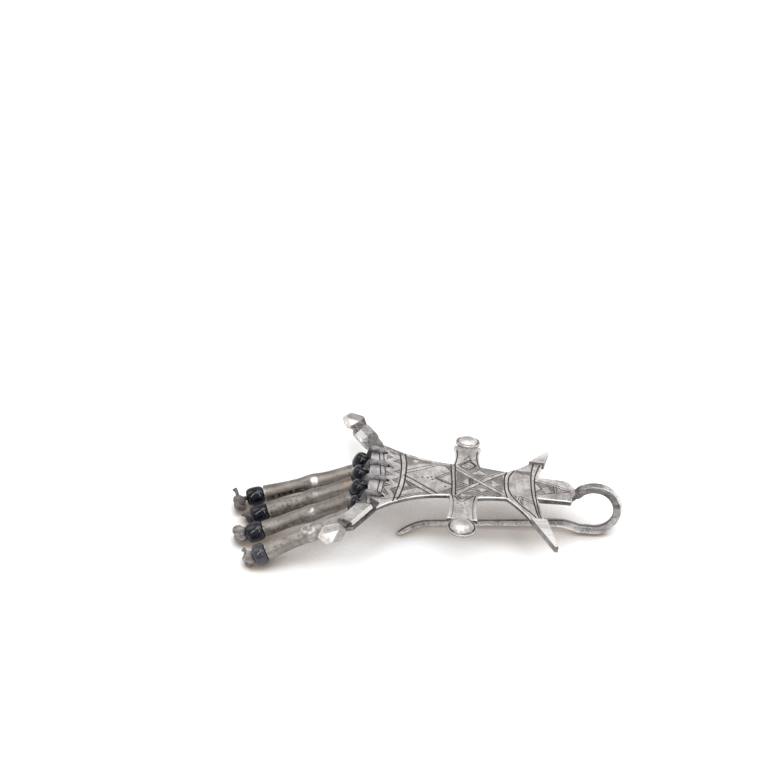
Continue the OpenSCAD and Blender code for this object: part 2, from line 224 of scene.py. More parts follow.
def wornSilver(name, engraved=False):
    # silver with fine scratches, soft stains and, where asked, engraved lines that hold patina
    k = silverKinds[name]
    mat, t, shader = startMaterial(name)
    obj = objectCoords(t)
    cloud = noiseOf(t, obj, silverLook["cloud"], 5.0, 0.6)
    fine = noiseOf(t, obj, silverLook["fine"], 4.0, 0.65)
    scratch = noiseOf(t, obj, silverLook["scratch"], 3.0, 0.6, k["grain"])
    tone = plus(t, times(t, cloud, 0.4), times(t, scratch, 0.3))
    tone = plus(t, tone, times(t, fine, 0.3))
    color = mixColor(t, rangeOf(t, tone, 0.43, 0.57), k["worn"], k["bright"])
    spots = rangeOf(t, noiseOf(t, obj, silverLook["spots"], 6.0, 0.7), 0.60, 0.72)
    dark = times(t, spots, k["stain"])
    height = plus(t, times(t, fine, 0.35), times(t, scratch, 0.65))
    if engraved:
        groove = attributeOf(t, "groove")
        hatch = attributeOf(t, "hatch")
        turn = attributeOf(t, "hatchTurn")
        pitch = 2 * math.pi / silverLook["hatchStep"] * silverLook["mapSize"]
        uv = addNode(t, "ShaderNodeUVMap", uv_map="handPlan").outputs[0]
        split = addNode(t, "ShaderNodeSeparateXYZ")
        wire(t, (uv, split.inputs[0]))
        across = plus(t, times(t, split.outputs[0], mathOf(t, "COSINE", turn)),
                      times(t, split.outputs[1], mathOf(t, "SINE", turn)))
        wobble = times(t, noiseOf(t, obj, 500.0, 2.0), silverLook["waver"])
        lines = mathOf(t, "SINE", plus(t, times(t, across, pitch), wobble))
        lines = times(t, rangeOf(t, lines, -0.35, 0.65), hatch)
        ground = times(t, hatch, 0.5)
        cut = higher(t, times(t, lines, 0.95), ground)
        cut = higher(t, cut, rangeOf(t, groove, 0.03, 0.45), True)
        dark = higher(t, dark, cut, True)
        height = minus(t, height, times(t, lines, 1.6))
    color = mixColor(t, dark, color, silverLook["patina"])
    # the edge attribute: polish, and painted highlights where the thumbs set it
    edge = rangeOf(t, attributeOf(t, "edge"), 0.2, 0.85, 0.0, 0.92)
    color = mixColor(t, edge, color, silverLook["edge"])
    # the side attribute: patina, and painted shade where the thumbs, the wire and the far arm set it
    side = times(t, attributeOf(t, "side"), rangeOf(t, tone, 0.42, 0.56, 1.0, 0.84), True)
    color = mixColor(t, side, color, silverLook["patinaAndShade"])
    wire(t, (color, shader.inputs["Base Color"]))
    metal = minus(t, k["shine"], times(t, dark, 0.8))
    metal = minus(t, metal, times(t, edge, 0.3))
    wire(t, (minus(t, metal, times(t, side, 0.25), True), shader.inputs["Metallic"]))
    roughness = rangeOf(t, cloud, 0.3, 0.7, k["rough"] - 0.07, k["rough"] + 0.09)
    roughness = plus(t, roughness, times(t, dark, 0.28))
    roughness = minus(t, roughness, times(t, edge, 0.12))
    wire(t, (roughness, shader.inputs["Roughness"]))
    bumpOf(t, shader, height, 0.35, 0.00004)
    return mat


engravedSilver = wornSilver("engravedSilver", True)
filedSilver = wornSilver("filedSilver")
spikeSilver = wornSilver("spikeSilver")
knobSilver = wornSilver("knobSilver")
bossSilver = wornSilver("bossSilver")
wireSilver = wornSilver("wireSilver")


tubeLook = {
    # stain also colours the painted shade on the tubes' undersides
    "dull": (0.17, 0.145, 0.125), "bright": (0.36, 0.33, 0.30), "stain": (0.05, 0.04, 0.033),
    "blot": (0.012, 0.010, 0.009), "knuckle": (0.90, 0.88, 0.85), "rust": (0.50, 0.27, 0.09), "metal": 0.6,
}


def makeTubeSilver():
    # dull drawn tube: cloudy and pitted, with painted shade below and a painted highlight at the knuckle
    mat, t, shader = startMaterial("tubeSilver")
    obj = objectCoords(t)
    cloud = noiseOf(t, obj, 180.0, 5.0, 0.6)
    along = noiseOf(t, obj, 420.0, 4.0, 0.6, (0.22, 1.0, 1.0))
    fine = noiseOf(t, obj, 2400.0, 3.0, 0.6)
    tone = plus(t, times(t, cloud, 0.5), times(t, along, 0.5))
    color = mixColor(t, rangeOf(t, tone, 0.36, 0.62), tubeLook["dull"], tubeLook["bright"])
    stain = rangeOf(t, noiseOf(t, obj, 340.0, 6.0, 0.72, (0.3, 1.0, 1.0)), 0.56, 0.68)
    stain = times(t, stain, 0.5)
    # painted shade on the underside joins the stain mask and takes the stain colour
    shade = times(t, attributeOf(t, "shade"), rangeOf(t, along, 0.3, 0.65, 1.0, 0.6))
    stain = higher(t, stain, shade, True)
    color = mixColor(t, stain, color, tubeLook["stain"])
    blot = times(t, attributeOf(t, "blot"), rangeOf(t, along, 0.36, 0.54, 0.45, 1.0), True)
    color = mixColor(t, blot, color, tubeLook["blot"])
    pits = rangeOf(t, noiseOf(t, obj, 1000.0, 5.0, 0.75), 0.515, 0.61)
    pits = times(t, pits, rangeOf(t, cloud, 0.42, 0.56, 0.2, 1.0))
    color = mixColor(t, times(t, pits, 0.8), color, tubeLook["stain"])
    # painted highlight on the knuckle, and wear at the tube's ends, in a near white
    highlightAndWear = attributeOf(t, "highlightAndWear")
    color = mixColor(t, highlightAndWear, color, tubeLook["knuckle"])
    rust = times(t, attributeOf(t, "rust"), rangeOf(t, fine, 0.40, 0.6, 0.15, 0.85))
    color = mixColor(t, rust, color, tubeLook["rust"])
    wire(t, (color, shader.inputs["Base Color"]))
    metal = minus(t, tubeLook["metal"], times(t, stain, 0.5), True)
    wire(t, (metal, shader.inputs["Metallic"]))
    rough = plus(t, rangeOf(t, cloud, 0.3, 0.7, 0.42, 0.52), times(t, stain, 0.15))
    rough = minus(t, rough, times(t, highlightAndWear, 0.16))
    wire(t, (rough, shader.inputs["Roughness"]))
    bumpOf(t, shader, plus(t, times(t, fine, 0.4), along), 0.4, 0.00005)
    return mat


glassLook = {
    "deep": (0.004, 0.004, 0.008), "smeared": (0.018, 0.018, 0.030), "scuffed": (0.055, 0.055, 0.068),
    "dust": (0.105, 0.105, 0.13), "index": 1.5, "gloss": 0.4,
}


def makeBlackGlass():
    # black glass with smears, scuffs and, on some beads, a lighter grey of dust and painted sheen
    mat, t, shader = startMaterial("blackGlass")
    obj = objectCoords(t)
    smear = noiseOf(t, obj, 700.0, 4.0, 0.6)
    color = mixColor(t, rangeOf(t, smear, 0.40, 0.7), glassLook["deep"], glassLook["smeared"])
    scuff = rangeOf(t, noiseOf(t, obj, 520.0, 6.0, 0.75), 0.56, 0.66, 0.0, 0.7)
    color = mixColor(t, scuff, color, glassLook["scuffed"])
    # dust and painted sheen: a lighter grey on the beads that ask for it
    dustAndSheen = times(t, attributeOf(t, "dust"), rangeOf(t, smear, 0.3, 0.6, 0.6, 1.0))
    color = mixColor(t, dustAndSheen, color, glassLook["dust"])
    wire(t, (color, shader.inputs["Base Color"]))
    wire(t, (rangeOf(t, smear, 0.4, 0.75, 0.08, 0.14), shader.inputs["Roughness"]))
    shader.inputs["IOR"].default_value = glassLook["index"]
    shader.inputs["Specular IOR Level"].default_value = glassLook["gloss"]
    bumpOf(t, shader, noiseOf(t, obj, 380.0, 2.0), 0.06, 0.00004)
    return mat


waxLook = {
    # dark and pale shade of the waxed thong, of its worn ends and of its parts darkened by dirt and painted shade,
    # and its pale fibres
    "waxed": ((0.050, 0.047, 0.052), (0.25, 0.245, 0.26)),
    "frayed": ((0.11, 0.097, 0.09), (0.36, 0.34, 0.325)),
    "soiledAndShaded": ((0.035, 0.029, 0.029), (0.135, 0.112, 0.105)),
    "fibre": (0.42, 0.42, 0.44), "gloss": 0.6,
}


def makeWaxedThong():
    mat, t, shader = startMaterial("waxedThong")
    obj = objectCoords(t)
    fibre = noiseOf(t, obj, 1300.0, 4.0, 0.6, (0.35, 1.0, 1.0))
    cloud = noiseOf(t, obj, 420.0, 4.0, 0.6)
    color = mixColor(t, rangeOf(t, cloud, 0.42, 0.58), *waxLook["waxed"])
    color = mixColor(t, rangeOf(t, fibre, 0.52, 0.64, 0.0, 0.6), color, waxLook["fibre"])
    worn = attributeOf(t, "frayed")
    dust = mixColor(t, rangeOf(t, fibre, 0.38, 0.62), *waxLook["frayed"])
    color = mixColor(t, times(t, worn, 0.75), color, dust)
    # dirt on the knots, and dirt with painted shade on the thong between its bead and the palm's edge
    soilAndShade = mixColor(t, rangeOf(t, cloud, 0.38, 0.62), *waxLook["soiledAndShaded"])
    color = mixColor(t, times(t, attributeOf(t, "brown"), 0.85), color, soilAndShade)
    wire(t, (color, shader.inputs["Base Color"]))
    rough = plus(t, rangeOf(t, fibre, 0.3, 0.7, 0.42, 0.62), times(t, worn, 0.2))
    wire(t, (rough, shader.inputs["Roughness"]))
    shader.inputs["Specular IOR Level"].default_value = waxLook["gloss"]
    bumpOf(t, shader, plus(t, fibre, times(t, cloud, 0.8)), 0.6, 0.00012)
    return mat


tubeSilver = makeTubeSilver()
blackGlass = makeBlackGlass()
waxedThong = makeWaxedThong()
print("materials made")


def startTree(name, inputs):
    tree = bpy.data.node_groups.new(name, "GeometryNodeTree")
    tree.interface.new_socket("Geometry", in_out="INPUT", socket_type="NodeSocketGeometry")
    for label, kind, value in inputs:
        s = tree.interface.new_socket(label, in_out="INPUT", socket_type=kind)
        if value is not None:
            s.default_value = value
    tree.interface.new_socket("Geometry", in_out="OUTPUT", socket_type="NodeSocketGeometry")
    return tree, addNode(tree, "NodeGroupInput"), addNode(tree, "NodeGroupOutput")


def unevenSurface(tree, g, geometrySocket):
    # pushes the surface in and out a little, as handwork does
    tex = addNode(tree, "ShaderNodeTexNoise", noise_dimensions="4D")
    tex.inputs["Detail"].default_value = 2.0
    sub = addNode(tree, "ShaderNodeMath", operation="SUBTRACT", in_1=0.5)
    mul = addNode(tree, "ShaderNodeMath", operation="MULTIPLY")
    scale = addNode(tree, "ShaderNodeVectorMath", operation="SCALE")
    normal = addNode(tree, "GeometryNodeInputNormal")
    move = addNode(tree, "GeometryNodeSetPosition")
    wire(tree, (g.outputs["Noise Scale"], tex.inputs["Scale"]), (g.outputs["Seed"], tex.inputs["W"]),
         (tex.outputs["Fac"], sub.inputs[0]), (sub.outputs[0], mul.inputs[0]),
         (g.outputs["Unevenness"], mul.inputs[1]), (normal.outputs[0], scale.inputs[0]),
         (mul.outputs[0], scale.inputs["Scale"]), (geometrySocket, move.inputs["Geometry"]),
         (scale.outputs[0], move.inputs["Offset"]))
    return move.outputs[0]


def endTree(tree, g, out, geometrySocket):
    smooth = addNode(tree, "GeometryNodeSetShadeSmooth")
    real = addNode(tree, "GeometryNodeRealizeInstances")
    paint = addNode(tree, "GeometryNodeSetMaterial")
    wire(tree, (geometrySocket, smooth.inputs["Geometry"]), (smooth.outputs[0], real.inputs[0]),
         (real.outputs[0], paint.inputs["Geometry"]), (g.outputs["Material"], paint.inputs["Material"]),
         (paint.outputs[0], out.inputs[0]))


commonInputs = [
    ("Unevenness", "NodeSocketFloat", 0.00005),
    ("Noise Scale", "NodeSocketFloat", 400.0),
    ("Seed", "NodeSocketFloat", 0.0),
    ("Material", "NodeSocketMaterial", None),
]


def makeTurnedTree():
    # a closed profile in the XY plane (X out from the axis, Y along it) carried round the Z axis
    tree, g, out = startTree("turnedPiece", [("Segments", "NodeSocketInt", 48), ("Ring", "NodeSocketFloat", 0.002)]
                             + commonInputs)
    profile = addNode(tree, "GeometryNodeMeshToCurve")
    shift = addNode(tree, "GeometryNodeTransform")
    offset = addNode(tree, "ShaderNodeCombineXYZ")
    negative = addNode(tree, "ShaderNodeMath", operation="MULTIPLY", in_1=-1.0)
    ring = addNode(tree, "GeometryNodeCurvePrimitiveCircle")
    up = addNode(tree, "GeometryNodeSetCurveNormal", mode="Z_UP")
    sweep = addNode(tree, "GeometryNodeCurveToMesh")
    merge = addNode(tree, "GeometryNodeMergeByDistance")
    merge.inputs["Distance"].default_value = 0.000004
    upright = addNode(tree, "GeometryNodeTransform")
    upright.inputs["Rotation"].default_value = (math.pi, 0, 0)
    wire(tree, (g.outputs["Geometry"], profile.inputs[0]), (profile.outputs[0], shift.inputs[0]),
         (g.outputs["Ring"], negative.inputs[0]), (negative.outputs[0], offset.inputs[0]),
         (offset.outputs[0], shift.inputs["Translation"]),
         (g.outputs["Segments"], ring.inputs["Resolution"]), (g.outputs["Ring"], ring.inputs["Radius"]),
         (ring.outputs[0], up.inputs[0]), (up.outputs[0], sweep.inputs["Curve"]),
         (shift.outputs[0], sweep.inputs["Profile Curve"]), (sweep.outputs[0], upright.inputs[0]),
         (upright.outputs[0], merge.inputs["Geometry"]))
    endTree(tree, g, out, unevenSurface(tree, g, merge.outputs[0]))
    return tree


def makeSweptTree(name, squared):
    # a tube or a squared wire along a path; the path's points carry their own half width
    tree, g, out = startTree(name, [("Step", "NodeSocketFloat", 0.0002), ("Sides", "NodeSocketInt", 16),
                                    ("Corner", "NodeSocketFloat", 0.3), ("Turn", "NodeSocketFloat", 0.0)]
                             + commonInputs)
    path = addNode(tree, "GeometryNodeMeshToCurve")
    kind = addNode(tree, "GeometryNodeCurveSplineType", spline_type="CATMULL_ROM")
    fine = addNode(tree, "GeometryNodeResampleCurve", mode="LENGTH")
    half = addNode(tree, "GeometryNodeInputNamedAttribute", data_type="FLOAT")
    half.inputs["Name"].default_value = "halfWidth"
    tilt = addNode(tree, "GeometryNodeSetCurveTilt")
    sweep = addNode(tree, "GeometryNodeCurveToMesh")
    sweep.inputs["Fill Caps"].default_value = True
    wire(tree, (g.outputs["Geometry"], path.inputs[0]), (path.outputs[0], kind.inputs[0]),
         (kind.outputs[0], fine.inputs[0]), (g.outputs["Step"], fine.inputs["Length"]),
         (fine.outputs[0], tilt.inputs[0]), (g.outputs["Turn"], tilt.inputs["Tilt"]),
         (half.outputs["Attribute"], sweep.inputs["Scale"]), (tilt.outputs[0], sweep.inputs["Curve"]))
    if squared:
        shape = addNode(tree, "GeometryNodeCurvePrimitiveQuadrilateral")
        shape.inputs["Width"].default_value = 2.0
        shape.inputs["Height"].default_value = 2.0
        soft = addNode(tree, "GeometryNodeFilletCurve", mode="POLY")
        soft.inputs["Count"].default_value = 3
        wire(tree, (shape.outputs[0], soft.inputs[0]), (g.outputs["Corner"], soft.inputs["Radius"]),
             (soft.outputs[0], sweep.inputs["Profile Curve"]))
    else:
        shape = addNode(tree, "GeometryNodeCurvePrimitiveCircle")
        shape.inputs["Radius"].default_value = 1.0
        wire(tree, (g.outputs["Sides"], shape.inputs["Resolution"]),
             (shape.outputs[0], sweep.inputs["Profile Curve"]))
    endTree(tree, g, out, unevenSurface(tree, g, sweep.outputs[0]))
    return tree


def runTree(name, tree, mesh, settings):
    # runs the tree on a starting mesh and keeps its result as a plain mesh
    start = bpy.data.objects.new(name + "Start", mesh)
    bpy.context.scene.collection.objects.link(start)
    mod = start.modifiers.new("shape", "NODES")
    mod.node_group = tree
    ids = {s.name: s.identifier for s in tree.interface.items_tree if s.in_out == "INPUT"}
    for label, value in settings.items():
        mod[ids[label]] = value
    bpy.context.view_layer.update()
    graph = bpy.context.evaluated_depsgraph_get()
    result = bpy.data.meshes.new_from_object(start.evaluated_get(graph))
    bpy.data.objects.remove(start)
    result.name = name
    return result


def surface(uneven, scale, seed, material):
    # the inputs that every tree shares
    return {"Unevenness": uneven, "Noise Scale": scale, "Seed": seed, "Material": material}


def paintOn(mesh, label, values, domain="POINT"):
    # a number for each point or face, which the materials read
    mesh.attributes.new(label, "FLOAT", domain).data.foreach_set("value", values)


def lineMesh(name, points, halfWidths=None, closed=False):
    # a line of points, in metres, for a tree to start from
    mesh = bpy.data.meshes.new(name)
    edges = [(i, i + 1) for i in range(len(points) - 1)]
    if closed:
        edges.append((len(points) - 1, 0))
    mesh.from_pydata([tuple(p) for p in points], edges, [])
    if halfWidths:
        paintOn(mesh, "halfWidth", halfWidths)
    return mesh


turnedTree = makeTurnedTree()
roundTree = makeSweptTree("sweptThong", False)
squareTree = makeSweptTree("sweptWire", True)


def addPiece(name, mesh, sharp):
    # edges over the angle, in degrees, stay sharp
    obj = bpy.data.objects.new(name, mesh)
    bpy.context.scene.collection.objects.link(obj)
    mesh.set_sharp_from_angle(angle=math.radians(sharp))
    return obj


def joined(name, meshes):
    # one mesh from several, with their materials and attributes
    bm = bmesh.new()
    mats = []
    for m in meshes:
        first = len(bm.faces)
        bm.from_mesh(m)
        bm.faces.ensure_lookup_table()
        for f in bm.faces[first:]:
            mat = m.materials[f.material_index] if m.materials else None
            if mat not in mats:
                mats.append(mat)
            f.material_index = mats.index(mat)
    result = bpy.data.meshes.new(name)
    bm.to_mesh(result)
    bm.free()
    for mat in mats:
        result.materials.append(mat)
    return result


# The engraved hand plate, in millimetres: u along the hand, v across it, w up from its front
plate = {
    "thick": 1.0, "bendRadius": 92.0,
    "palmLength": 21.7, "palmWidth": 28.4, "waistWidth": 13.8,
    "armWidth": 6.4, "armReach": 15.3, "bossReach": 18.3, "armSlope": 6.0, "shoulder": 1.1, "armHollow": 0.4,
    # each side's arm, spike, boss and the rim of the wrist's end
    "far": {"arm": 0.4, "reach": 19.2, "lean": 0.3, "raised": 0.5, "bossOut": 1.0, "armOut": 2.3, "flare": 0.0,
            "rim": 1.0, "end": [(16.75, 4.9), (22.6, 4.9), (23.9, 4.3), (24.9, 2.6), (25.5, 1.3)]},
    "near": {"arm": 0.0, "reach": 21.8, "lean": 0.46, "raised": 0.65, "bossOut": 0.0, "armOut": 0.0, "flare": 0.3,
             "rim": 1.45, "end": [(16.75, 4.45), (24.4, 4.1), (24.6, 3.9), (24.9, 1.9), (25.5, 0.9)]},
    "pointShare": 0.4, "spikeShift": 1.5, "wristHalf": 4.95,
    "holeRadius": 0.8, "dotRadius": 0.4, "edgeRadius": 0.22, "hammered": 0.05,
    "lineWiden": 1.45, "lineDepth": 0.15,
    # the net of points between the lines: its step, its corner and its size
    "gridStep": 0.42, "gridFrom": (-22, -18.6), "gridSize": (48, 38), "gridJitter": 0.05,
    # the near arm's polish on its borders and painted light over its field: where it starts and ends, half its
    # width, where the borders start, how bright
    "polishAndLight": {"start": 6, "end": 15, "half": 4.2, "border": 2.7, "rim": 0.6, "field": 0.35, "fade": 3},
    # the far arm's painted shade: how strong, where it starts and over what length it grows
    "farShade": 0.13, "farShadeStart": 6, "farShadeFade": 5, "backPatina": 0.75,
}
holes = [(-18.7, 9.4), (-17.9, 3.0), (-17.9, -3.4), (-18.7, -9.7)]
# u, half the width, half of the flat strip, how far its sides drop, and the wall under it
wristSections = [(15.4, 4.9, 3.6, 0.2, 1.1), (17.0, 4.9, 3.2, 0.35, 1.1), (23.0, 4.9, 0.9, 0.5, 1.5),
                 (24.6, 4.9, 0.4, 0.6, 1.8)]


def arcPoints(a, b, sag, n=10):
    # points of an arc from a to b that bows by sag to the left of its way
    a, b = Vector(a), Vector(b)
    half = (b - a).length / 2
    r = (half * half + sag * sag) / (2 * abs(sag))
    way = (b - a) / (2 * half)
    left = Vector((-way.y, way.x)) * (1 if sag > 0 else -1)
    middle = (a + b) / 2 + left * (abs(sag) - r)
    spread = math.asin(half / r)
    angles = [-spread + 2 * spread * i / n for i in range(n + 1)]
    return [tuple(middle + way * r * math.sin(t) + left * r * math.cos(t)) for t in angles]


def spikeParts(side):
    # the spike's point, and where its raised outer part starts
    p = plate[side]
    tip = (16.6 + (p["reach"] - 11) * p["lean"], p["reach"])
    foot = tip[0] - p["reach"] * plate["pointShare"] * p["lean"] + plate["spikeShift"]
    return tip, foot


def halfOutline(side):
    # from the palm edge's middle round to the wrist's end, on the positive side
    p = plate[side]
    waist = plate["waistWidth"] / 2
    corner = (2.3 - plate["palmLength"], plate["palmWidth"] / 2)
    _, foot = spikeParts(side)
    base = (foot - 0.3, p["reach"] * (1.03 - plate["pointShare"]))
    u, half = p["arm"], plate["armWidth"] / 2
    neck = half - plate["shoulder"]
    flat = math.cos(math.radians(plate["armSlope"]))
    shoulder = waist + (plate["armReach"] + p["armOut"] - waist) * flat
    end = waist + (plate["bossReach"] + p["bossOut"] - waist) * flat
    flare = half + p["flare"]
    points = [(-plate["palmLength"], corner[1] - 1.6), corner]
    points += arcPoints(corner, (u - half, waist), -1.5, 14)[1:]
    points += arcPoints((u - half, waist), (u - flare, shoulder), -plate["armHollow"])[1:]
    points += [(u - neck, shoulder), (u - neck, end), (u + neck, end), (u + neck, shoulder)]
    points += arcPoints((u + flare, shoulder), (u + half, waist), -plate["armHollow"])
    points += arcPoints((u + half, waist), (9.8, waist - 1), -0.2)[1:]
    points += arcPoints((9.8, waist - 1), (base[0] - 2.8, base[1]), -0.35)[1:]
    return points + [base] + p["end"]


def handOutline():
    far = halfOutline("far")
    near = [(u, -v) for u, v in halfOutline("near")]
    return far + near[::-1]


def sheetHeight(v):
    # the sheet falls off to both sides along its bend
    return math.sqrt(plate["bendRadius"] ** 2 - v * v) - plate["bendRadius"]


def wristAt(u):
    u = min(max(u, wristSections[0][0]), wristSections[-1][0])
    for a, b in zip(wristSections, wristSections[1:]):
        if u <= b[0]:
            t = (u - a[0]) / (b[0] - a[0])
            return [x + (y - x) * t for x, y in zip(a, b)]
    return wristSections[-1]


def frontHeight(u, v):
    a, waist = abs(v), plate["waistWidth"] / 2
    arm = plate["far" if v > 0 else "near"]["arm"]
    if a > waist and abs(u - arm) < plate["armWidth"] / 2 + 0.35:
        return sheetHeight(waist) - (a - waist) * math.tan(math.radians(plate["armSlope"]))
    w = sheetHeight(v)
    if u > wristSections[0][0] and a < plate["wristHalf"]:
        _, half, strip, drop, _ = wristAt(u)
        ridge = -drop * max(0.0, (a - strip) / max(half - strip, 0.01))
        w = ridge if u > 16.7 else max(w, ridge)
    return w


def backHeight(u, v):
    a, start = abs(v), 16.2
    if u > start and a < plate["wristHalf"]:
        _, half, strip, drop, wall = wristAt(u)
        trough = strip * 0.6
        t = max(0.0, (a - trough) / max(half - trough, 0.01))
        rim = plate["far" if v > 0 else "near"]["rim"] - 0.05 * (min(u, wristSections[-1][0]) - start)
        return -wall + (wall - drop - rim) * t
    return frontHeight(u, v) - plate["thick"]


# Engraved lines: width in millimetres, then points as (u, v)
engravedLines = [
    # double bands, and the borders of the spikes' panel
    (0.36, [(-15.2, 9.7), (-14.7, 4.7), (-14.6, 0.5), (-14.8, -3.9), (-15.3, -7.5), (-15.9, -11.4)]),
    (0.36, [(-13.9, 9.0), (-13.5, 4.5), (-13.5, -0.2), (-13.7, -4.1), (-14.2, -7.8), (-15.0, -10.9)]),
    (0.34, [(-3.3, 6.6), (-3.0, 1.1), (-2.8, -2.5), (-2.8, -6.6)]),
    (0.34, [(-2.3, 6.6), (-2.2, 1.3), (-2.0, -2.4), (-1.9, -6.6)]),
    (0.36, [(9.8, 6.1), (9.3, 4.2), (9.1, 2.5), (9.1, -0.2), (9.3, -2.7), (9.9, -5.6)]),
    (0.34, [(11.2, 6.4), (10.2, 3.5), (10.0, 0.3), (10.2, -2.5), (10.7, -4.2), (12.7, -7.5), (15.5, -10.6),
            (17.0, -12.6)]),
    (0.34, [(15.8, 11.9), (15.3, 7.0), (15.2, 2.9), (15.4, -1.9), (15.8, -5.2), (16.7, -9.9), (17.6, -12.9)]),
    (0.30, [(17.2, 10.9), (16.2, 5.4), (16.0, 1.9), (16.2, -1.8), (16.5, -5.1), (17.2, -9.9), (18.0, -12.6)]),
    # palm margin and the lines that follow the far rim
    (0.26, [(-20.3, 11.0), (-19.8, 6.6), (-19.4, 1.6), (-19.2, -2.1), (-19.3, -4.6), (-19.9, -10.2)]),
    (0.24, [(-19.2, 10.6), (-18.8, 6.4), (-18.3, 1.0), (-18.2, -2.6), (-18.4, -5.7), (-18.8, -10.0)]),
    (0.20, [(-19.2, 13.0), (-17.6, 11.4), (-15.6, 9.6), (-13.6, 8.5), (-11.4, 7.7), (-9.1, 7.0), (-6.8, 6.3),
            (-3.4, 5.9)]),
    (0.18, [(-19.2, 12.1), (-17.4, 10.4), (-15.4, 8.7)]),
    (0.18, [(-18.4, -10.9), (-15.7, -10.0), (-14.3, -9.4), (-12.7, -8.5), (-10.8, -7.6), (-7.9, -6.9)]),
    # the zigzag along the palm's margin
    (0.17, [(-15.05, 6.6), (-16.65, 5.3), (-14.9, 4.3)]),
    (0.17, [(-14.7, 1.55), (-16.1, 0.5), (-14.6, -0.5)]),
    (0.17, [(-14.6, -1.65), (-16.45, -3.0), (-14.85, -4.6)]),
    (0.17, [(-14.8, -5.8), (-16.7, -6.95), (-15.55, -9.1)]),
    (0.14, [(-15.2, -6.9), (-16.1, -7.3), (-15.6, -8.3)]),
    (0.17, [(-18.2, 8.5), (-16.65, 7.3), (-18.2, 5.9)]),
    (0.17, [(-17.2, 3.7), (-16.4, 1.7), (-17.7, 1.9)]),
    (0.17, [(-18.0, 0.5), (-16.5, -0.9), (-17.9, -1.75)]),
    (0.17, [(-18.2, -4.65), (-16.75, -5.3), (-18.3, -6.2)]),
    (0.17, [(-18.3, -6.5), (-17.0, -9.05), (-18.1, -9.5)]),
    # palm panel: slanted bands, chevron and broad band
    (0.18, [(-13.4, 3.5), (-10.4, 5.3), (-7.0, 6.5)]),
    (0.24, [(-13.4, 1.7), (-10.0, 4.0), (-6.2, 6.2)]),
    (0.26, [(-13.4, 0.4), (-10.0, 2.6), (-5.4, 5.7), (-3.3, 3.5)]),
    (0.26, [(-6.6, -0.4), (-3.2, 3.2)]),
    (0.20, [(-6.0, -0.5), (-3.1, 2.4)]),
    (0.40, [(-6.6, -0.4), (-5.2, -1.6), (-3.0, -2.6)]),
    (0.42, [(-13.7, -0.7), (-11.3, -2.5), (-8.5, -4.8), (-6.0, -6.8)]),
    (0.30, [(-13.8, -2.4), (-11.2, -4.4), (-7.6, -7.2)]),
    (0.20, [(-14.1, -7.1), (-10.8, -5.3)]),
    (0.20, [(-13.2, -3.7), (-12.3, -5.1), (-13.9, -5.7)]),
    (0.22, [(-5.6, -6.4), (-2.9, -4.1)]),
    # middle panel: the crossed bands
    (0.26, [(-2.0, 5.4), (1.6, 2.1), (5.5, -1.1), (9.0, -3.8)]),
    (0.26, [(-2.1, 4.0), (1.6, 0.7), (5.1, -2.2), (8.6, -4.9)]),
    (0.26, [(-1.6, -4.9), (1.7, -1.7), (2.9, -0.4)]),
    (0.26, [(3.6, 0.5), (5.4, 2.5), (8.8, 5.5)]),
    (0.26, [(-0.9, -6.1), (2.6, -2.2), (3.7, -1.0)]),
    (0.26, [(4.5, -0.2), (6.0, 1.4), (9.2, 4.5)]),
    (0.24, [(1.2, 1.0), (1.3, -1.9)]),
    (0.20, [(1.7, 0.6), (1.8, -1.5)]),
    # square panel between the spikes
    (0.16, [(10.7, 4.6), (12.9, 4.9), (15.2, 4.6)]),
    (0.18, [(10.5, 3.9), (13.1, 4.2), (15.2, 3.8)]),
    (0.18, [(10.4, -3.3), (13.2, -3.5), (15.5, -4.0)]),
    (0.16, [(10.7, -4.0), (13.2, -4.1), (15.7, -4.6)]),
    (0.20, [(13.3, -4.6), (16.0, -6.5)]),
    (0.20, [(13.4, -5.5), (16.0, -7.3)]),
    (0.20, [(12.0, 6.9), (13.5, 5.4), (15.3, 5.3)]),
    # wrist strip
    (0.22, [(16.2, 3.5), (19.8, 2.2), (22.7, 0.8), (24.4, 0.1)]),
    (0.20, [(16.1, 2.6), (19.8, 1.3), (22.5, 0.1), (24.2, -0.4)]),
    (0.22, [(16.3, -3.5), (18.6, -2.6), (21.5, -1.6), (24.4, -0.5)]),
    (0.20, [(20.4, 1.1), (20.7, -1.9)]),
    (0.18, [(20.9, 0.9), (21.2, -1.7)]),
    (0.18, [(16.2, 1.9), (17.7, -0.6), (16.4, -1.9)]),
    # far arm
    (0.28, [(-2.1, 14.9), (-1.9, 12.0), (-2.2, 8.0), (-2.6, 6.3)]),
    (0.28, [(2.7, 14.9), (2.6, 12.0), (2.9, 8.0), (3.4, 6.2)]),
    (0.24, [(-1.9, 6.6), (1.0, 10.0), (2.8, 6.9)]),
    (0.24, [(-1.2, 6.3), (0.9, 9.0), (2.3, 6.9), (0.9, 5.1), (-1.2, 6.3)]),
    (0.18, [(-0.3, 6.5), (0.6, 7.7), (1.3, 6.7), (0.7, 5.9), (-0.3, 6.5)]),
    # near arm
    (0.30, [(-2.7, -6.4), (-2.3, -8.6), (-2.2, -11.5), (-2.4, -14.9)]),
    (0.30, [(2.7, -6.2), (2.3, -8.6), (2.2, -11.5), (2.4, -14.9)]),
    (0.32, [(-2.2, -7.0), (-0.5, -8.9), (0.8, -7.8), (2.3, -6.3)]),
    (0.22, [(-1.5, -6.7), (-0.4, -8.0), (0.6, -7.1)]),
    (0.18, [(-0.9, -6.5), (-0.3, -7.2), (0.4, -6.6)]),
]
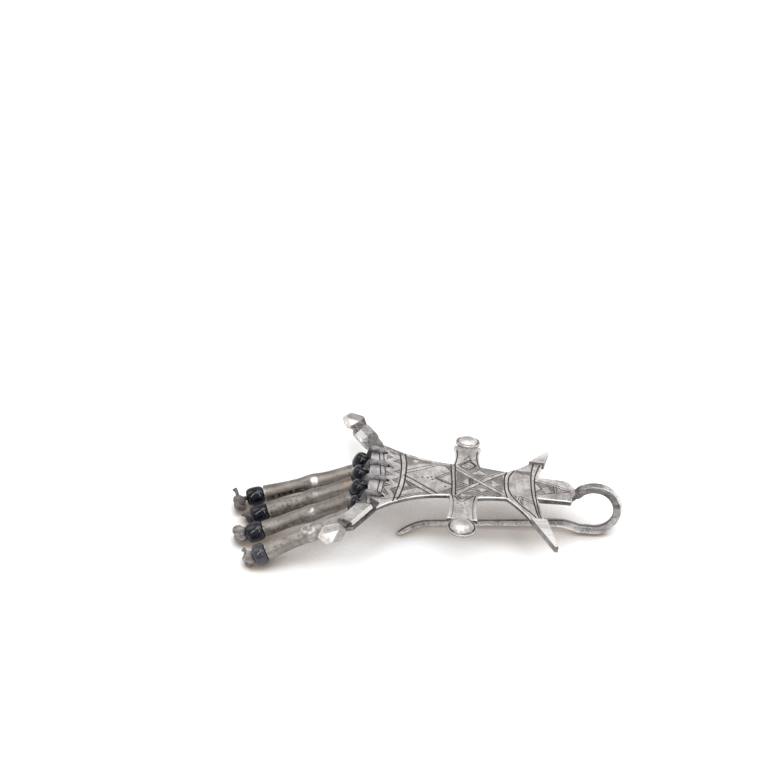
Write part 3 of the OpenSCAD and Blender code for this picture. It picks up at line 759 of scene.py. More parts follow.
# Hatched grounds: turn of the hatching in degrees, then corners
hatchedGrounds = [
    (70, [(-16.6, 5.4), (-15.0, 6.7), (-14.9, 4.1)]),
    (70, [(-16.3, 0.6), (-14.9, 1.8), (-14.8, -0.4)]),
    (70, [(-16.4, -3.0), (-15.0, -1.7), (-15.1, -4.4)]),
    (70, [(-16.7, -6.6), (-15.3, -5.6), (-15.7, -8.8)]),
    (110, [(-18.2, 8.5), (-16.65, 7.3), (-18.2, 5.9)]),
    (110, [(-17.2, 3.7), (-16.4, 1.7), (-17.7, 1.9)]),
    (110, [(-18.1, 0.5), (-16.8, -1.0), (-18.1, -2.1)]),
    (110, [(-18.1, -4.4), (-16.8, -5.3), (-18.2, -6.2)]),
    (110, [(-18.3, -6.9), (-17.1, -8.8), (-18.4, -9.4)]),
    (40, [(-18.6, 12.0), (-17.3, 10.2), (-15.5, 8.6), (-16.9, 8.9)]),
    (20, [(-19.0, 13.1), (-17.5, 11.6), (-15.5, 9.8), (-13.6, 8.8), (-13.6, 9.5), (-15.5, 10.5), (-17.6, 12.6)]),
    (35, [(-13.4, 3.7), (-10.4, 5.5), (-7.4, 6.4), (-9.1, 6.9), (-11.4, 7.6), (-13.6, 8.3)]),
    (145, [(-5.2, 5.8), (-3.3, 5.8), (-3.3, 3.8)]),
    (0, [(-6.3, -0.7), (-5.1, -0.7), (-3.1, -2.1), (-3.0, -2.6), (-5.2, -1.7)]),
    (30, [(-13.8, -2.7), (-11.2, -4.6), (-7.9, -7.1), (-10.8, -7.4), (-12.7, -8.3), (-14.3, -9.2), (-14.0, -6.0)]),
    (80, [(-15.5, -10.1), (-12.7, -8.7), (-10.8, -7.8), (-7.7, -7.1), (-6.0, -7.2), (-7.7, -7.6), (-10.8, -8.4),
          (-13.0, -9.6), (-15.0, -10.7)]),
    (60, [(-5.2, -6.5), (-3.0, -4.4), (-3.0, -6.5)]),
    (50, [(-1.3, 5.4), (1.6, 2.5), (3.6, 0.9), (5.3, 2.8), (8.4, 5.6), (6.0, 6.1), (3.2, 6.4), (0.0, 6.2)]),
    (130, [(-1.9, 3.5), (1.6, 0.4), (2.6, -0.4), (1.6, -1.5), (-1.6, -4.4), (-1.8, -3.0)]),
    (60, [(4.8, -0.2), (6.0, 1.1), (8.8, 4.0), (8.9, -3.3), (5.6, -0.8)]),
    (120, [(3.7, -1.3), (5.1, -2.5), (8.3, -4.9), (8.6, -5.7), (3.0, -6.1), (-0.5, -6.2), (2.6, -2.5)]),
    (30, [(11.4, 6.1), (12.9, 5.2), (15.1, 5.0), (15.2, 7.0), (13.2, 6.8), (12.0, 7.0)]),
    (20, [(11.0, -4.4), (13.2, -4.5), (13.6, -5.6), (13.6, -8.0), (12.7, -7.2)]),
    (75, [(16.2, 2.3), (19.8, 1.0), (20.4, 0.8), (20.6, -2.0), (18.6, -2.4), (16.4, -3.2)]),
    (105, [(21.1, 0.6), (22.5, -0.1), (24.2, -0.5), (21.4, -1.4)]),
    (45, [(-1.9, 6.6), (1.0, 9.9), (2.8, 6.9), (0.9, 5.1)]),
    (50, [(-2.1, -6.9), (-0.5, -8.7), (0.8, -7.6), (2.2, -6.3), (0.4, -6.5), (-0.3, -7.3), (-0.9, -6.5)]),
]
# Plain islands left bright inside the hatching
plainIslands = [
    [(-12.3, 6.3), (-11.5, 7.2), (-10.6, 6.5), (-11.4, 5.5)],
    [(-13.3, -3.8), (-12.4, -5.1), (-13.9, -5.6)],
    [(-14.3, -8.6), (-14.1, -7.2), (-10.8, -5.4), (-8.5, -6.9), (-11.0, -7.2), (-12.8, -8.0)],
    [(1.6, 2.9), (3.2, 4.9), (5.2, 3.3)],
    [(-1.0, -1.1), (0.9, 0.8), (0.9, -1.8)],
    [(6.3, 0.8), (6.4, -1.9), (8.1, -0.6)],
    [(2.9, -3.1), (5.6, -3.1), (4.0, -4.4)],
    [(0.4, -4.4), (1.3, -3.6), (1.9, -4.4), (1.2, -5.0)],
    [(17.8, -0.3), (19.0, 0.6), (19.8, -1.7), (18.6, -2.2)],
    [(16.3, 1.6), (17.4, -0.6), (16.4, -1.7)],
    [(21.4, 0.2), (22.1, -0.3), (21.6, -1.0)],
    [(-0.9, 6.3), (0.9, 8.6), (2.0, 6.9), (0.9, 5.4)],
    [(-0.2, -7.7), (-0.5, -8.4), (0.8, -7.3), (0.3, -6.9)],
    [(12.2, -4.8), (12.5, -4.8), (12.1, -6.5), (11.8, -6.1)],
    [(12.8, -4.9), (13.1, -4.9), (12.6, -7.0), (12.3, -6.8)],
]
punchedDots = [(-9.7, -0.7), (-8.5, -0.7), (-7.6, -0.2), (-7.3, -1.2), (-4.3, -3.8),
               (-0.1, 10.2), (1.2, 10.1), (0.3, 11.0), (1.0, 11.2), (0.7, 12.1),
               (-1.3, -9.6), (0.4, -9.3), (-0.4, -10.2), (-0.1, -11.1)]


def spaced(points, step):
    # the same line with points no more than a step apart
    result = [Vector(points[0])]
    for a, b in zip(points, points[1:]):
        a, b = Vector(a), Vector(b)
        n = max(1, math.ceil((b - a).length / step))
        result += [a.lerp(b, i / n) for i in range(1, n + 1)]
    return result


def rounded(points, step=0.5):
    # a smooth line through the points
    p = [Vector(x) for x in points]
    if len(p) < 3:
        return spaced(points, step)
    p = [p[0] * 2 - p[1]] + p + [p[-1] * 2 - p[-2]]
    result = [p[1]]
    for i in range(1, len(p) - 2):
        n = max(1, math.ceil((p[i + 1] - p[i]).length / step))
        for j in range(1, n + 1):
            s = j / n
            result.append(0.5 * ((2 * p[i]) + (p[i + 1] - p[i - 1]) * s
                                 + (2 * p[i - 1] - 5 * p[i] + 4 * p[i + 1] - p[i + 2]) * s * s
                                 + (3 * p[i] - p[i - 1] - 3 * p[i + 1] + p[i + 2]) * s ** 3))
    return result


def sideLine(points, distance, closed=False):
    # the line moved sideways to its left
    result, n = [], len(points)
    for i, p in enumerate(points):
        a = points[i - 1] if i or closed else p
        b = points[(i + 1) % n] if i < n - 1 or closed else p
        way = (Vector(b) - Vector(a)).normalized()
        result.append(Vector(p) + Vector((-way.y, way.x)) * distance)
    return result


def insidePolygon(points, corners):
    # true where a point lies inside, by how often its way out crosses the ring
    x, y = points.T
    ring = np.array([tuple(c) for c in corners])
    hit = np.zeros(len(x), bool)
    for (x0, y0), (x1, y1) in zip(ring, np.roll(ring, -1, axis=0)):
        if y0 != y1:
            hit ^= ((y0 > y) != (y1 > y)) & (x < (x1 - x0) * (y - y0) / (y1 - y0) + x0)
    return hit


def distanceTo(points, line, closed=False):
    # distance of each point to a line of points
    line = np.array([tuple(p) for p in line])
    ends = np.roll(line, -1, axis=0) if closed else line[1:]
    best = np.full(len(points), 1e9)
    if len(line) == 1:
        return np.hypot(*(points - line[0]).T)
    for a, b in zip(line if closed else line[:-1], ends):
        ab = b - a
        size = max((ab * ab).sum(), 1e-12)
        t = np.clip(((points - a) @ ab) / size, 0, 1)
        best = np.minimum(best, np.hypot(*(points - a - t[:, None] * ab).T))
    return best


def circlePoints(u, v, radius, half):
    # half is the number of points on half the circle
    return [(u + radius * math.cos(a * math.pi / half), v + radius * math.sin(a * math.pi / half))
            for a in range(2 * half)]


def plateLines(outline):
    # all that the plate's triangles follow: rim, engraving, dots, holes, hatched fields, ridge, and a net between
    verts, edges, grooves = [], [], []

    def addLine(points, closed=False):
        first, n = len(verts), len(points)
        verts.extend(Vector(p) for p in points)
        edges.extend((first + i, first + i + 1) for i in range(n - 1))
        if closed:
            edges.append((first + n - 1, first))

    addLine(outline, True)
    orient = sum(a.x * b.y - b.x * a.y for a, b in zip(outline, outline[1:] + outline[:1]))
    inward = 1 if orient > 0 else -1
    r = plate["edgeRadius"]
    for d in (0.25 * r, 0.6 * r, r):
        addLine(sideLine(outline, d * inward, True), True)
    for width, points in engravedLines:
        width *= plate["lineWiden"]
        line = rounded(points) if len(points) > 3 else spaced(points, 0.6)
        grooves.append((width, line))
        addLine(line)
        for side in (-1, 1):
            addLine(sideLine(line, side * width / 2))
    for u, v in punchedDots:
        grooves.append((plate["dotRadius"] * 2, [Vector((u, v))]))
        verts.append(Vector((u, v)))
        for radius in (plate["dotRadius"] / 2, plate["dotRadius"]):
            addLine(circlePoints(u, v, radius, 5), True)
    for u, v in holes:
        for wider in (0, 0.12, 0.25):
            addLine(circlePoints(u, v, plate["holeRadius"] + wider, 12), True)
    for corners in [c for _, c in hatchedGrounds] + plainIslands:
        addLine(corners, True)
    for a, b in zip(wristSections[1:], wristSections[2:]):
        for sign in (-1, 1):
            addLine(spaced([(a[0], a[2] * sign), (b[0], b[2] * sign)], 0.6))
    step, jitter = plate["gridStep"], plate["gridJitter"]
    for i in range(int(plate["gridSize"][0] / step)):
        for j in range(int(plate["gridSize"][1] / step)):
            u = plate["gridFrom"][0] + (i + 0.5 * (j % 2)) * step + jitter * math.sin(i * 12.9 + j * 78.2)
            v = plate["gridFrom"][1] + j * step + jitter * math.sin(i * 39.3 + j * 11.1)
            verts.append(Vector((u, v)))
    return verts, edges, grooves


def plateTriangles(outline, verts, edges):
    # triangles inside the outline and outside the holes, all the same way round
    flat, _, faces, *_ = geometry.delaunay_2d_cdt(verts, edges, [], 0, 0.0005)
    pts = np.array([tuple(p) for p in flat])
    tris = np.array([tuple(f) for f in faces if len(f) == 3])
    middle = pts[tris].mean(axis=1)
    keep = insidePolygon(middle, outline)
    for u, v in holes:
        keep &= np.hypot(middle[:, 0] - u, middle[:, 1] - v) > plate["holeRadius"] * 0.985
    tris, middle = tris[keep], middle[keep]
    area = np.cross(pts[tris[:, 1]] - pts[tris[:, 0]], pts[tris[:, 2]] - pts[tris[:, 0]])
    tris[area < 0] = tris[area < 0][:, ::-1]
    used = np.unique(tris)
    index = np.full(len(pts), -1)
    index[used] = np.arange(len(used))
    return pts[used], index[tris], middle


def plateRelief(pts, outline, grooves):
    # for each point: its share of a groove, how deep the cut is, its polish with the near arm's painted light, and
    # how far the rim falls off there
    groove, depth = np.zeros(len(pts)), np.zeros(len(pts))
    for width, line in grooves:
        t = np.clip(1 - distanceTo(pts, line) / (width / 2), 0, 1)
        groove = np.maximum(groove, t)
        depth = np.maximum(depth, t * plate["lineDepth"] * min(1.0, width / 0.3))
    rim = distanceTo(pts, outline, True)
    for u, v in holes:
        rim = np.minimum(rim, np.abs(np.hypot(pts[:, 0] - u, pts[:, 1] - v) - plate["holeRadius"]))
    r = plate["edgeRadius"]
    edge = np.clip(1 - rim / r, 0, 1)
    # the near arm is brighter than the rest: painted light over it and polish most of all on its borders, and its
    # end isn't polished
    k = plate["polishAndLight"]
    across, along = np.abs(pts[:, 0]), -pts[:, 1]
    arm = (across < k["half"]) & (along > k["start"]) & (along < k["end"])
    polishAndLight = np.where(across > k["border"], k["rim"], k["field"]) * np.clip((along - k["start"]) / k["fade"], 0, 1)
    edge[arm] = np.maximum(edge, polishAndLight)[arm]
    edge[(across < k["half"] + 0.4) & (along > k["end"])] *= 0.1
    fall = r - np.sqrt(np.maximum(r * r - (r - np.minimum(rim, r)) ** 2, 0))
    return groove, depth, edge, fall


def engravedPlate():
    outline = spaced(handOutline() + [handOutline()[0]], 0.45)[:-1]
    verts, edges, grooves = plateLines(outline)
    pts, tris, middle = plateTriangles(outline, verts, edges)
    groove, depth, edge, fall = plateRelief(pts, outline, grooves)
    count, cells = len(pts), len(tris)
    front, back = [], []
    for (u, v), d, f in zip(pts, depth, fall):
        bump = plate["hammered"] * (noise.noise(Vector((u * 0.35, v * 0.35, 1.7))) * 0.7
                                    + noise.noise(Vector((u * 1.1, v * 1.1, 5.1))) * 0.3)
        front.append(inHand(u, v, frontHeight(u, v) - d - f - abs(bump) * 0.6))
        under = plate["hammered"] * noise.noise(Vector((u * 0.5, v * 0.5, 9.3)))
        back.append(inHand(u, v, backHeight(u, v) + f * 0.25 + abs(under)))
    # front, back, and the rim where an edge has a triangle on one side only
    faces = [tuple(t) for t in tris] + [tuple(t[::-1] + count) for t in tris]
    seen = {}
    for a, b, c in tris:
        for e in ((a, b), (b, c), (c, a)):
            seen[e] = True
    faces += [(b, a, a + count, b + count) for a, b in seen if (b, a) not in seen]
    mesh = bpy.data.meshes.new("handPlateSkin")
    mesh.from_pydata([tuple(p) for p in front + back], [], faces)
    paintOn(mesh, "groove", np.concatenate([groove, groove * 0]).astype(np.float32))
    paintOn(mesh, "edge", np.concatenate([edge, edge]).astype(np.float32))
    hatch, turn = np.zeros(len(faces), np.float32), np.zeros(len(faces), np.float32)
    for degrees, corners in hatchedGrounds:
        hit = insidePolygon(middle, corners)
        hatch[:cells][hit] = 1.0
        turn[:cells][hit] = math.radians(degrees)
    for corners in plainIslands:
        hatch[:cells][insidePolygon(middle, corners)] = 0.0
    # painted shade over the far arm, growing towards its end
    farArmShade = plate["farShade"] * np.clip((middle[:, 1] - plate["farShadeStart"]) / plate["farShadeFade"], 0, 1)
    side = np.concatenate([farArmShade, np.full(cells, plate["backPatina"]), np.ones(len(faces) - 2 * cells)])
    for label, values in (("hatch", hatch), ("hatchTurn", turn), ("side", side.astype(np.float32))):
        paintOn(mesh, label, values, "FACE")
    uv = mesh.uv_layers.new(name="handPlan")
    plan = np.concatenate([pts, pts]) / silverLook["mapSize"]
    loops = np.zeros(len(mesh.loops), np.int32)
    mesh.loops.foreach_get("vertex_index", loops)
    uv.data.foreach_set("uv", plan[loops].astype(np.float32).ravel())
    mesh.materials.append(engravedSilver)
    mesh.polygons.foreach_set("use_smooth", [True] * len(mesh.polygons))
    mesh.update()
    print("engraved plate:", len(faces), "faces")
    return mesh


# The cut blocks and knobs of the two thumbs, in millimetres and degrees
blocks = {
    "rootU": -21.0, "rootV": 12.8, "width": 4.6, "rise": 1.5, "cut": 1.0,
    "farLength": 13.0, "nearLength": 13.8, "farTurn": 115.0, "nearTurn": 124.0,
    "farSlope": 5.0, "nearSlope": 9.5, "bevel": 0.17, "softBevel": 0.34,
    # knob: length, width, underside, top, turn about its bar
    "farKnob": (5.0, 4.4, -1.2, 1.4, 6.0), "nearKnob": (4.9, 4.4, -1.2, 1.6, -12.0),
    # tone: patina, how much painted light brightens the facets that face the light, and the bevels' least polish
    # and painted highlight
    "farTone": {"Bar": (0.8, 0.1, 0), "Block": (0.6, 0.6, 0), "Neck": (0.8, 0.3, 0), "Tip": (0.95, 1.35, 0)},
    "nearTone": {"Bar": (0.95, 0.1, 0), "Block": (0.3, 0.4, 0), "Neck": (0.9, 0.2, 0), "Tip": (0.36, 0.45, 0)},
    # the way that the block's ridge faces; the facet turned that way is painted white, a painted highlight
    "ridge": {"far": (0, 1, 1), "near": (0, -1, 0.75)},
}


def cutSolid(size, cuts):
    # a box cut by planes, each a point and an outward normal
    bm = bmesh.new()
    bmesh.ops.create_cube(bm, size=1.0)
    bmesh.ops.scale(bm, vec=size, verts=bm.verts)
    for point, normal in cuts:
        got = bmesh.ops.bisect_plane(bm, geom=bm.verts[:] + bm.edges[:] + bm.faces[:], dist=1e-5,
                                     plane_co=point, plane_no=Vector(normal).normalized(), clear_outer=True)
        rim = [e for e in got["geom_cut"] if isinstance(e, bmesh.types.BMEdge)]
        if rim:
            bmesh.ops.edgenet_fill(bm, edges=rim)
    bmesh.ops.recalc_face_normals(bm, faces=bm.faces)
    return bm


def edgeBevel(bm, width):
    # rounds the edges and marks the rounding so that the material can polish it
    mark = bm.faces.layers.float.new("edge")
    got = bmesh.ops.bevel(bm, geom=bm.edges[:], offset=width, offset_type="OFFSET", segments=2, profile=0.6,
                          affect="EDGES", clamp_overlap=True)
    for f in got["faces"]:
        f[mark] = 0.8


def toMesh(name, bm, matrix, material, rough, seed=0.0):
    # places a shape that is in millimetres and shifts its points a little
    bmesh.ops.transform(bm, matrix=Matrix.Scale(mm, 4), verts=bm.verts)
    bmesh.ops.transform(bm, matrix=matrix, verts=bm.verts)
    for v in bm.verts:
        p = v.co * 900 + Vector((seed, 0, 0))
        shift = Vector([noise.noise(p + Vector(q)) for q in ((0, 0, 0), (7, 1, 3), (2, 9, 5))])
        v.co += shift * rough * mm
    mesh = bpy.data.meshes.new(name)
    bm.to_mesh(mesh)
    bm.free()
    mesh.materials.append(material)
    mesh.polygons.foreach_set("use_smooth", [True] * len(mesh.polygons))
    return mesh


def flatPrism(outline, low, high):
    # a flat outline as a solid between two heights
    bm = bmesh.new()
    bottom = [bm.verts.new((u, v, low)) for u, v in outline]
    top = [bm.verts.new((u, v, high)) for u, v in outline]
    bm.faces.new(bottom[::-1])
    bm.faces.new(top)
    n = len(outline)
    for i in range(n):
        bm.faces.new((bottom[i], bottom[(i + 1) % n], top[(i + 1) % n], top[i]))
    bmesh.ops.recalc_face_normals(bm, faces=bm.faces)
    return bm


def markSides(mesh, amount):
    # faces that turn away from the hand's front are darkened
    front = turned(0, 0, 1)
    paintOn(mesh, "side", [amount if p.normal.dot(front) < 0.45 else 0.0 for p in mesh.polygons], "FACE")
    return mesh


def markFacets(mesh, base, gain, polishAndLight, ridge):
    # painted light and shade: facets that turn to a fixed light are painted bright, the others keep their patina
    # and those turned away are painted darker; bevels stay bright where they face the camera and the ridge is
    # painted white, painted highlights
    light = Vector((-0.7, -0.4, 0.6)).normalized()
    front = Vector((0.0, -0.7, 0.7))
    side = mesh.attributes.new("side", "FLOAT", "FACE")
    edge = mesh.attributes["edge"]
    for s, d, p in zip(side.data, edge.data, mesh.polygons):
        lit = p.normal.dot(light)
        # painted light on facets facing the fixed light, painted shade on facets turned away
        s.value = unit(base - gain * max(0.0, lit) + 0.9 * max(0.0, 0.12 - lit))
        # bevels stay bright only where they face the camera: a painted highlight
        d.value = max(polishAndLight, d.value * unit((p.normal.dot(front) - 0.45) * 2.5) * min(1.0, 1.5 - base))
        # the facet that faces the ridge's way is painted white: a painted highlight
        if p.normal.dot(ridge) > 0.95:
            s.value, d.value = 0.0, 1.0
        elif d.value > 0.5:
            s.value *= 0.3
    return mesh


def cutKnob(l, w, low, high, turn, depth=2.12):
    # a block whose eight corners are cut so deep that its faces turn into diamonds
    a, b, c, middle = l / 2, w / 2, (high - low) / 2, (high + low) / 2
    corners = [Vector((x / a, y / b, z / c)) for x in (-1, 1) for y in (-1, 1) for z in (-1, 1)]
    bm = cutSolid((l, w, high - low), [(n * (depth / n.length_squared), n) for n in corners])
    bmesh.ops.rotate(bm, cent=(0, 0, 0), matrix=Matrix.Rotation(math.radians(turn), 3, "X"), verts=bm.verts)
    bmesh.ops.translate(bm, vec=(0, 0, middle), verts=bm.verts)
    return bm


def leafBlock(l, w, h, cut, low):
    # a block whose ends are filed askew, so that its top is a slanted diamond
    cuts = [((0, 0, low), (0, 0, -1))]
    for b in (-1, 1):
        cuts.append(((0, b * w / 2, h - cut), (0, b, 1.0)))
        cuts.append(((b * (l / 2 - 0.2), 0, h - 1.25), (b, b * 0.8, 0.95)))
        cuts.append(((b * (l / 2 - 1.1), b * (w / 2 - 0.7), 0), (b, b, 0.15)))
        cuts.append(((b * (l / 2 - 0.5), -b * (w / 2 - 0.4), 0), (b, -b, 0.15)))
    return cutSolid((l, w, 2 * h), cuts)


def ridgeBlock(l, w, h, low):
    # a block whose top falls from a ridge on its outer side
    cuts = [((0, 0, low), (0, 0, -1)), ((0, -w * 0.30, h), (0, 0.22, 1)), ((0, -w * 0.5, h - 0.75), (0, -1, 0.75)),
            ((0, -w * 0.5, h - 0.75), (0, -1, -0.35)), ((0, w / 2, h - 1.5), (0, 1, 0.8)),
            ((-l / 2, 0, h - 0.9), (-1, 0.5, 0.35)), ((l / 2 - 0.3, 0, h - 0.9), (1, 0.1, -0.2))]
    return cutSolid((l, w, 2 * h), cuts)


def thumbMeshes(side):
    # a flat bar from the palm's corner with a block on it, a neck and a knob at its end
    sign = 1 if side == "far" else -1
    l, turn, slope = (blocks[side + k] for k in ("Length", "Turn", "Slope"))
    root = moved(blocks["rootU"], blocks["rootV"], sheetHeight(blocks["rootV"]))
    place = handPlace @ Matrix.Scale(sign, 4, (0, 1, 0)) @ root @ spun(turn, "Z") @ spun(slope, "Y")
    width, rise = blocks["width"], blocks["rise"]
    half = width / 2
    bar = [(-1.5, -1.6), (0.1 * l, -half), (0.66 * l, -half), (0.74 * l, -1.3), (0.93 * l, -1.5),
           (0.93 * l, 1.5), (0.74 * l, 1.3), (0.66 * l, half), (0.1 * l, half), (-1.5, 1.6)]
    neck = [(-2.0, -1.1), (2.0, -1.1), (2.0, 1.1), (-2.0, 1.1)]
    if side == "far":
        block = leafBlock(0.52 * l, width, rise, blocks["cut"], -0.5)
    else:
        block = ridgeBlock(0.54 * l, width, rise, -0.5)
    parts = []
    knob = cutKnob(*blocks[side + "Knob"])
    for name, bm, x in (("Bar", flatPrism(bar, -1.0, 0.0), 0.0), ("Block", block, 0.4 * l),
                        ("Neck", flatPrism(neck, -0.5, 0.5), 0.7 * l), ("Tip", knob, l)):
        edgeBevel(bm, blocks["softBevel" if name == "Tip" and side == "far" else "bevel"])
        bmesh.ops.translate(bm, vec=(x, 0, 0), verts=bm.verts)
        if sign < 0:
            bmesh.ops.reverse_faces(bm, faces=bm.faces)
        ridge = place.to_3x3() @ Vector(blocks["ridge"][side]) if name == "Block" else Vector()
        silver = knobSilver if name == "Tip" else filedSilver
        mesh = toMesh("thumb" + name, bm, place, silver, 0.05, x + sign)
        parts.append(markFacets(mesh, *blocks[side + "Tone"][name], ridge.normalized()))
    return parts


def spikeMesh(side):
    # the spike's outer part, raised over the plate
    sign = 1 if side == "far" else -1
    tip, foot = spikeParts(side)
    reach, raised = plate[side]["reach"], plate[side]["raised"]
    base = reach * plate["pointShare"]
    v0 = reach - base
    drop = math.atan((sheetHeight(v0) - sheetHeight(reach)) / base)
    outline = [(foot - 3.6, 0), (foot, 0), (tip[0] + 0.3, base), (tip[0] - 0.5, base)]
    bm = flatPrism(outline, -1.15 - raised, 0.0)
    edgeBevel(bm, 0.1)
    place = (handPlace @ Matrix.Scale(sign, 4, (0, 1, 0)) @ moved(0, v0, sheetHeight(v0) + raised)
             @ Matrix.Rotation(-drop, 4, "X"))
    if sign < 0:
        bmesh.ops.reverse_faces(bm, faces=bm.faces)
    silver = spikeSilver if side == "near" else knobSilver
    return markSides(toMesh("spike", bm, place, silver, 0.05, sign * 3), 0.85)


bosses = {
    "far": {"radius": 2.85, "rise": 1.2, "lift": 0.45}, "near": {"radius": 3.3, "rise": 1.6, "lift": 0.0},
    "wall": 0.6, "ledge": 0.5, "segments": 56, "dents": 0.00024,
}


def turnedMesh(name, profile, closed, segments, *look):
    settings = {"Segments": segments, "Ring": 0.0015, **surface(*look)}
    return runTree(name, turnedTree, lineMesh(name + "Profile", profile, closed=closed), settings)


def bossProfile(side):
    # a hollow dome on a ledge, from its inner side over the rim to its top
    rim, h, wall = bosses[side]["radius"], bosses[side]["rise"], bosses["wall"]
    r = rim - bosses["ledge"]
    cap = (r * r + h * h) / (2 * h)
    top = math.asin(min(1.0, (r - 0.05) / cap))
    outer = [(cap * math.sin(top * i / 18), h - cap + cap * math.cos(top * i / 18)) for i in range(19)]
    ledge = [(r + 0.02, -0.02), (r + 0.12, 0.02), (r + 0.2, 0.12), (rim - 0.1, 0.1), (rim, -0.02), (rim, -0.5),
             (rim - 0.12, -0.6), (2.1, -0.6), (1.95, -0.5)]
    inner = [((cap - wall) * math.sin(top * 0.62 * i / 12), h - cap + (cap - wall) * math.cos(top * 0.62 * i / 12))
             for i in range(12, -1, -1)]
    return [(x * mm, y * mm, 0) for x, y in (outer + ledge + inner[1:])[::-1]]


def bossMesh(side):
    sign = 1 if side == "far" else -1
    mesh = turnedMesh("boss", bossProfile(side), False, bosses["segments"], bosses["dents"], 520.0, 3.0 + sign,
                      bossSilver)
    # patina sits in the groove round the dome and inside its back
    groove = bosses[side]["radius"] - bosses["ledge"] + 0.08
    dark = []
    for v in mesh.vertices:
        out = math.hypot(v.co.x, v.co.y) / mm
        dark.append(0.9 if v.co.z < 0.3 * mm and abs(out - groove) < 0.14 else 0.7 if v.normal.z < -0.2 else 0.0)
    paintOn(mesh, "side", dark)
    waist = plate["waistWidth"] / 2
    reach = plate["bossReach"] + plate[side]["bossOut"] - waist
    place = (handPlace @ moved(plate[side]["arm"], sign * waist, sheetHeight(waist))
             @ spun(-sign * plate["armSlope"], "X") @ moved(0, sign * reach, bosses[side]["lift"]))
    mesh.transform(place)
    return mesh


# The ear wire, in millimetres and degrees
earWire = {
    "loopU": 30.1, "loopW": -4.27, "loopR": 5.54, "from": 128.0, "to": -98.0, "steps": 20,
    "loopHalf": 0.92, "corner": 0.3, "turn": 0.0,
    # along the hand, middle height, half width and half thickness
    "neck": [(23.8, -1.25, 2.9, 0.6), (24.8, -1.15, 2.6, 0.7), (25.5, -0.95, 1.8, 0.8), (26.1, -0.6, 1.15, 0.9),
             (26.8, -0.05, 0.88, 0.88)],
    # points before and after the loop as (u, v, w), and half the wire's width there
    "start": [((22.6, 0, -1.0), 0.55), ((24.6, 0, -1.0), 0.75), ((26.0, 0, -0.75), 0.9)],
    "stem": [((27.6, 0, -9.8), 0.92), ((26.0, 0, -9.4), 0.9), ((24.4, 0, -9.05), 0.88), ((22.4, 0, -8.95), 0.85),
             ((18.0, 0, -9.35), 0.75), ((9.5, 0, -10.4), 0.66), ((1.3, 0, -11.45), 0.62), ((-7.0, 0, -12.45), 0.6),
             ((-8.6, -0.3, -12.7), 0.62), ((-10.6, -1.0, -13.2), 0.6), ((-12.6, -2.0, -14.0), 0.55),
             ((-13.9, -2.9, -14.6), 0.34)],
}


def wirePath():
    k = earWire
    ring = []
    for i in range(k["steps"] + 1):
        a = math.radians(k["from"] + (k["to"] - k["from"]) * i / k["steps"])
        u, w = k["loopU"] + k["loopR"] * math.cos(a), k["loopW"] + k["loopR"] * math.sin(a)
        ring.append(((u, 0, w), k["loopHalf"]))
    return k["start"] + ring + k["stem"]


def wireNeck():
    # the flat root where the wrist's ridge turns into the wire
    bm = bmesh.new()
    rings = []
    for u, middle, half, thick in earWire["neck"]:
        ring = []
        for i in range(20):
            a = 2 * math.pi * i / 20
            x, y = (math.copysign(abs(f(a)) ** 0.55, f(a)) for f in (math.cos, math.sin))
            ring.append(bm.verts.new((u, x * half, middle + y * thick)))
        rings.append(ring)
    for a, b in zip(rings, rings[1:]):
        for i in range(20):
            bm.faces.new((a[i], a[(i + 1) % 20], b[(i + 1) % 20], b[i]))
    bm.faces.new(rings[0][::-1])
    bm.faces.new(rings[-1])
    bmesh.ops.recalc_face_normals(bm, faces=bm.faces)
    mesh = toMesh("wireNeck", bm, handPlace, wireSilver, 0.04)
    paintOn(mesh, "side", [0.92] * len(mesh.vertices))
    return mesh


def earWireMesh():
    path = wirePath()
    points = [inHand(*p) for p, h in path]
    mesh = runTree("earWire", squareTree, lineMesh("wirePath", points, [h * mm for p, h in path]),
                   {"Step": 0.0003, "Corner": earWire["corner"], "Turn": math.radians(earWire["turn"]),
                    **surface(0.0001, 450.0, 8.0, wireSilver)})
    # patina where it faces into the loop; painted shade where it faces up to the plate, and on its sides from the
    # neck over the loop's top
    toHand = handPlace.inverted()
    middle = Vector((earWire["loopU"], 0, earWire["loopW"]))
    values = []
    for v in mesh.vertices:
        place = toHand @ v.co / mm
        n = toHand.to_3x3() @ v.normal
        out = Vector((place.x - middle.x, 0, place.z - middle.z)).normalized()
        if place.x < 26:
            out = Vector((0, 0, 1 if place.z > -4 else -1))
        inner = unit((-n.dot(out) - 0.3) * 3)
        flank = unit((abs(n.y) - 0.45) * 3) * max(0.1, min(0.95, 0.72 + out.z * 0.7))
        if place.x > 26:
            far = math.hypot(place.x - middle.x, place.z - middle.z) - earWire["loopR"]
            flank *= 1 - 0.25 * max(0.0, out.z) * unit(0.5 + far)
        root = 0.9 * unit((27.8 - place.x) / 1.6) * (place.z > -4)
        values.append(max(inner, flank, root))
    paintOn(mesh, "side", values)
    return mesh


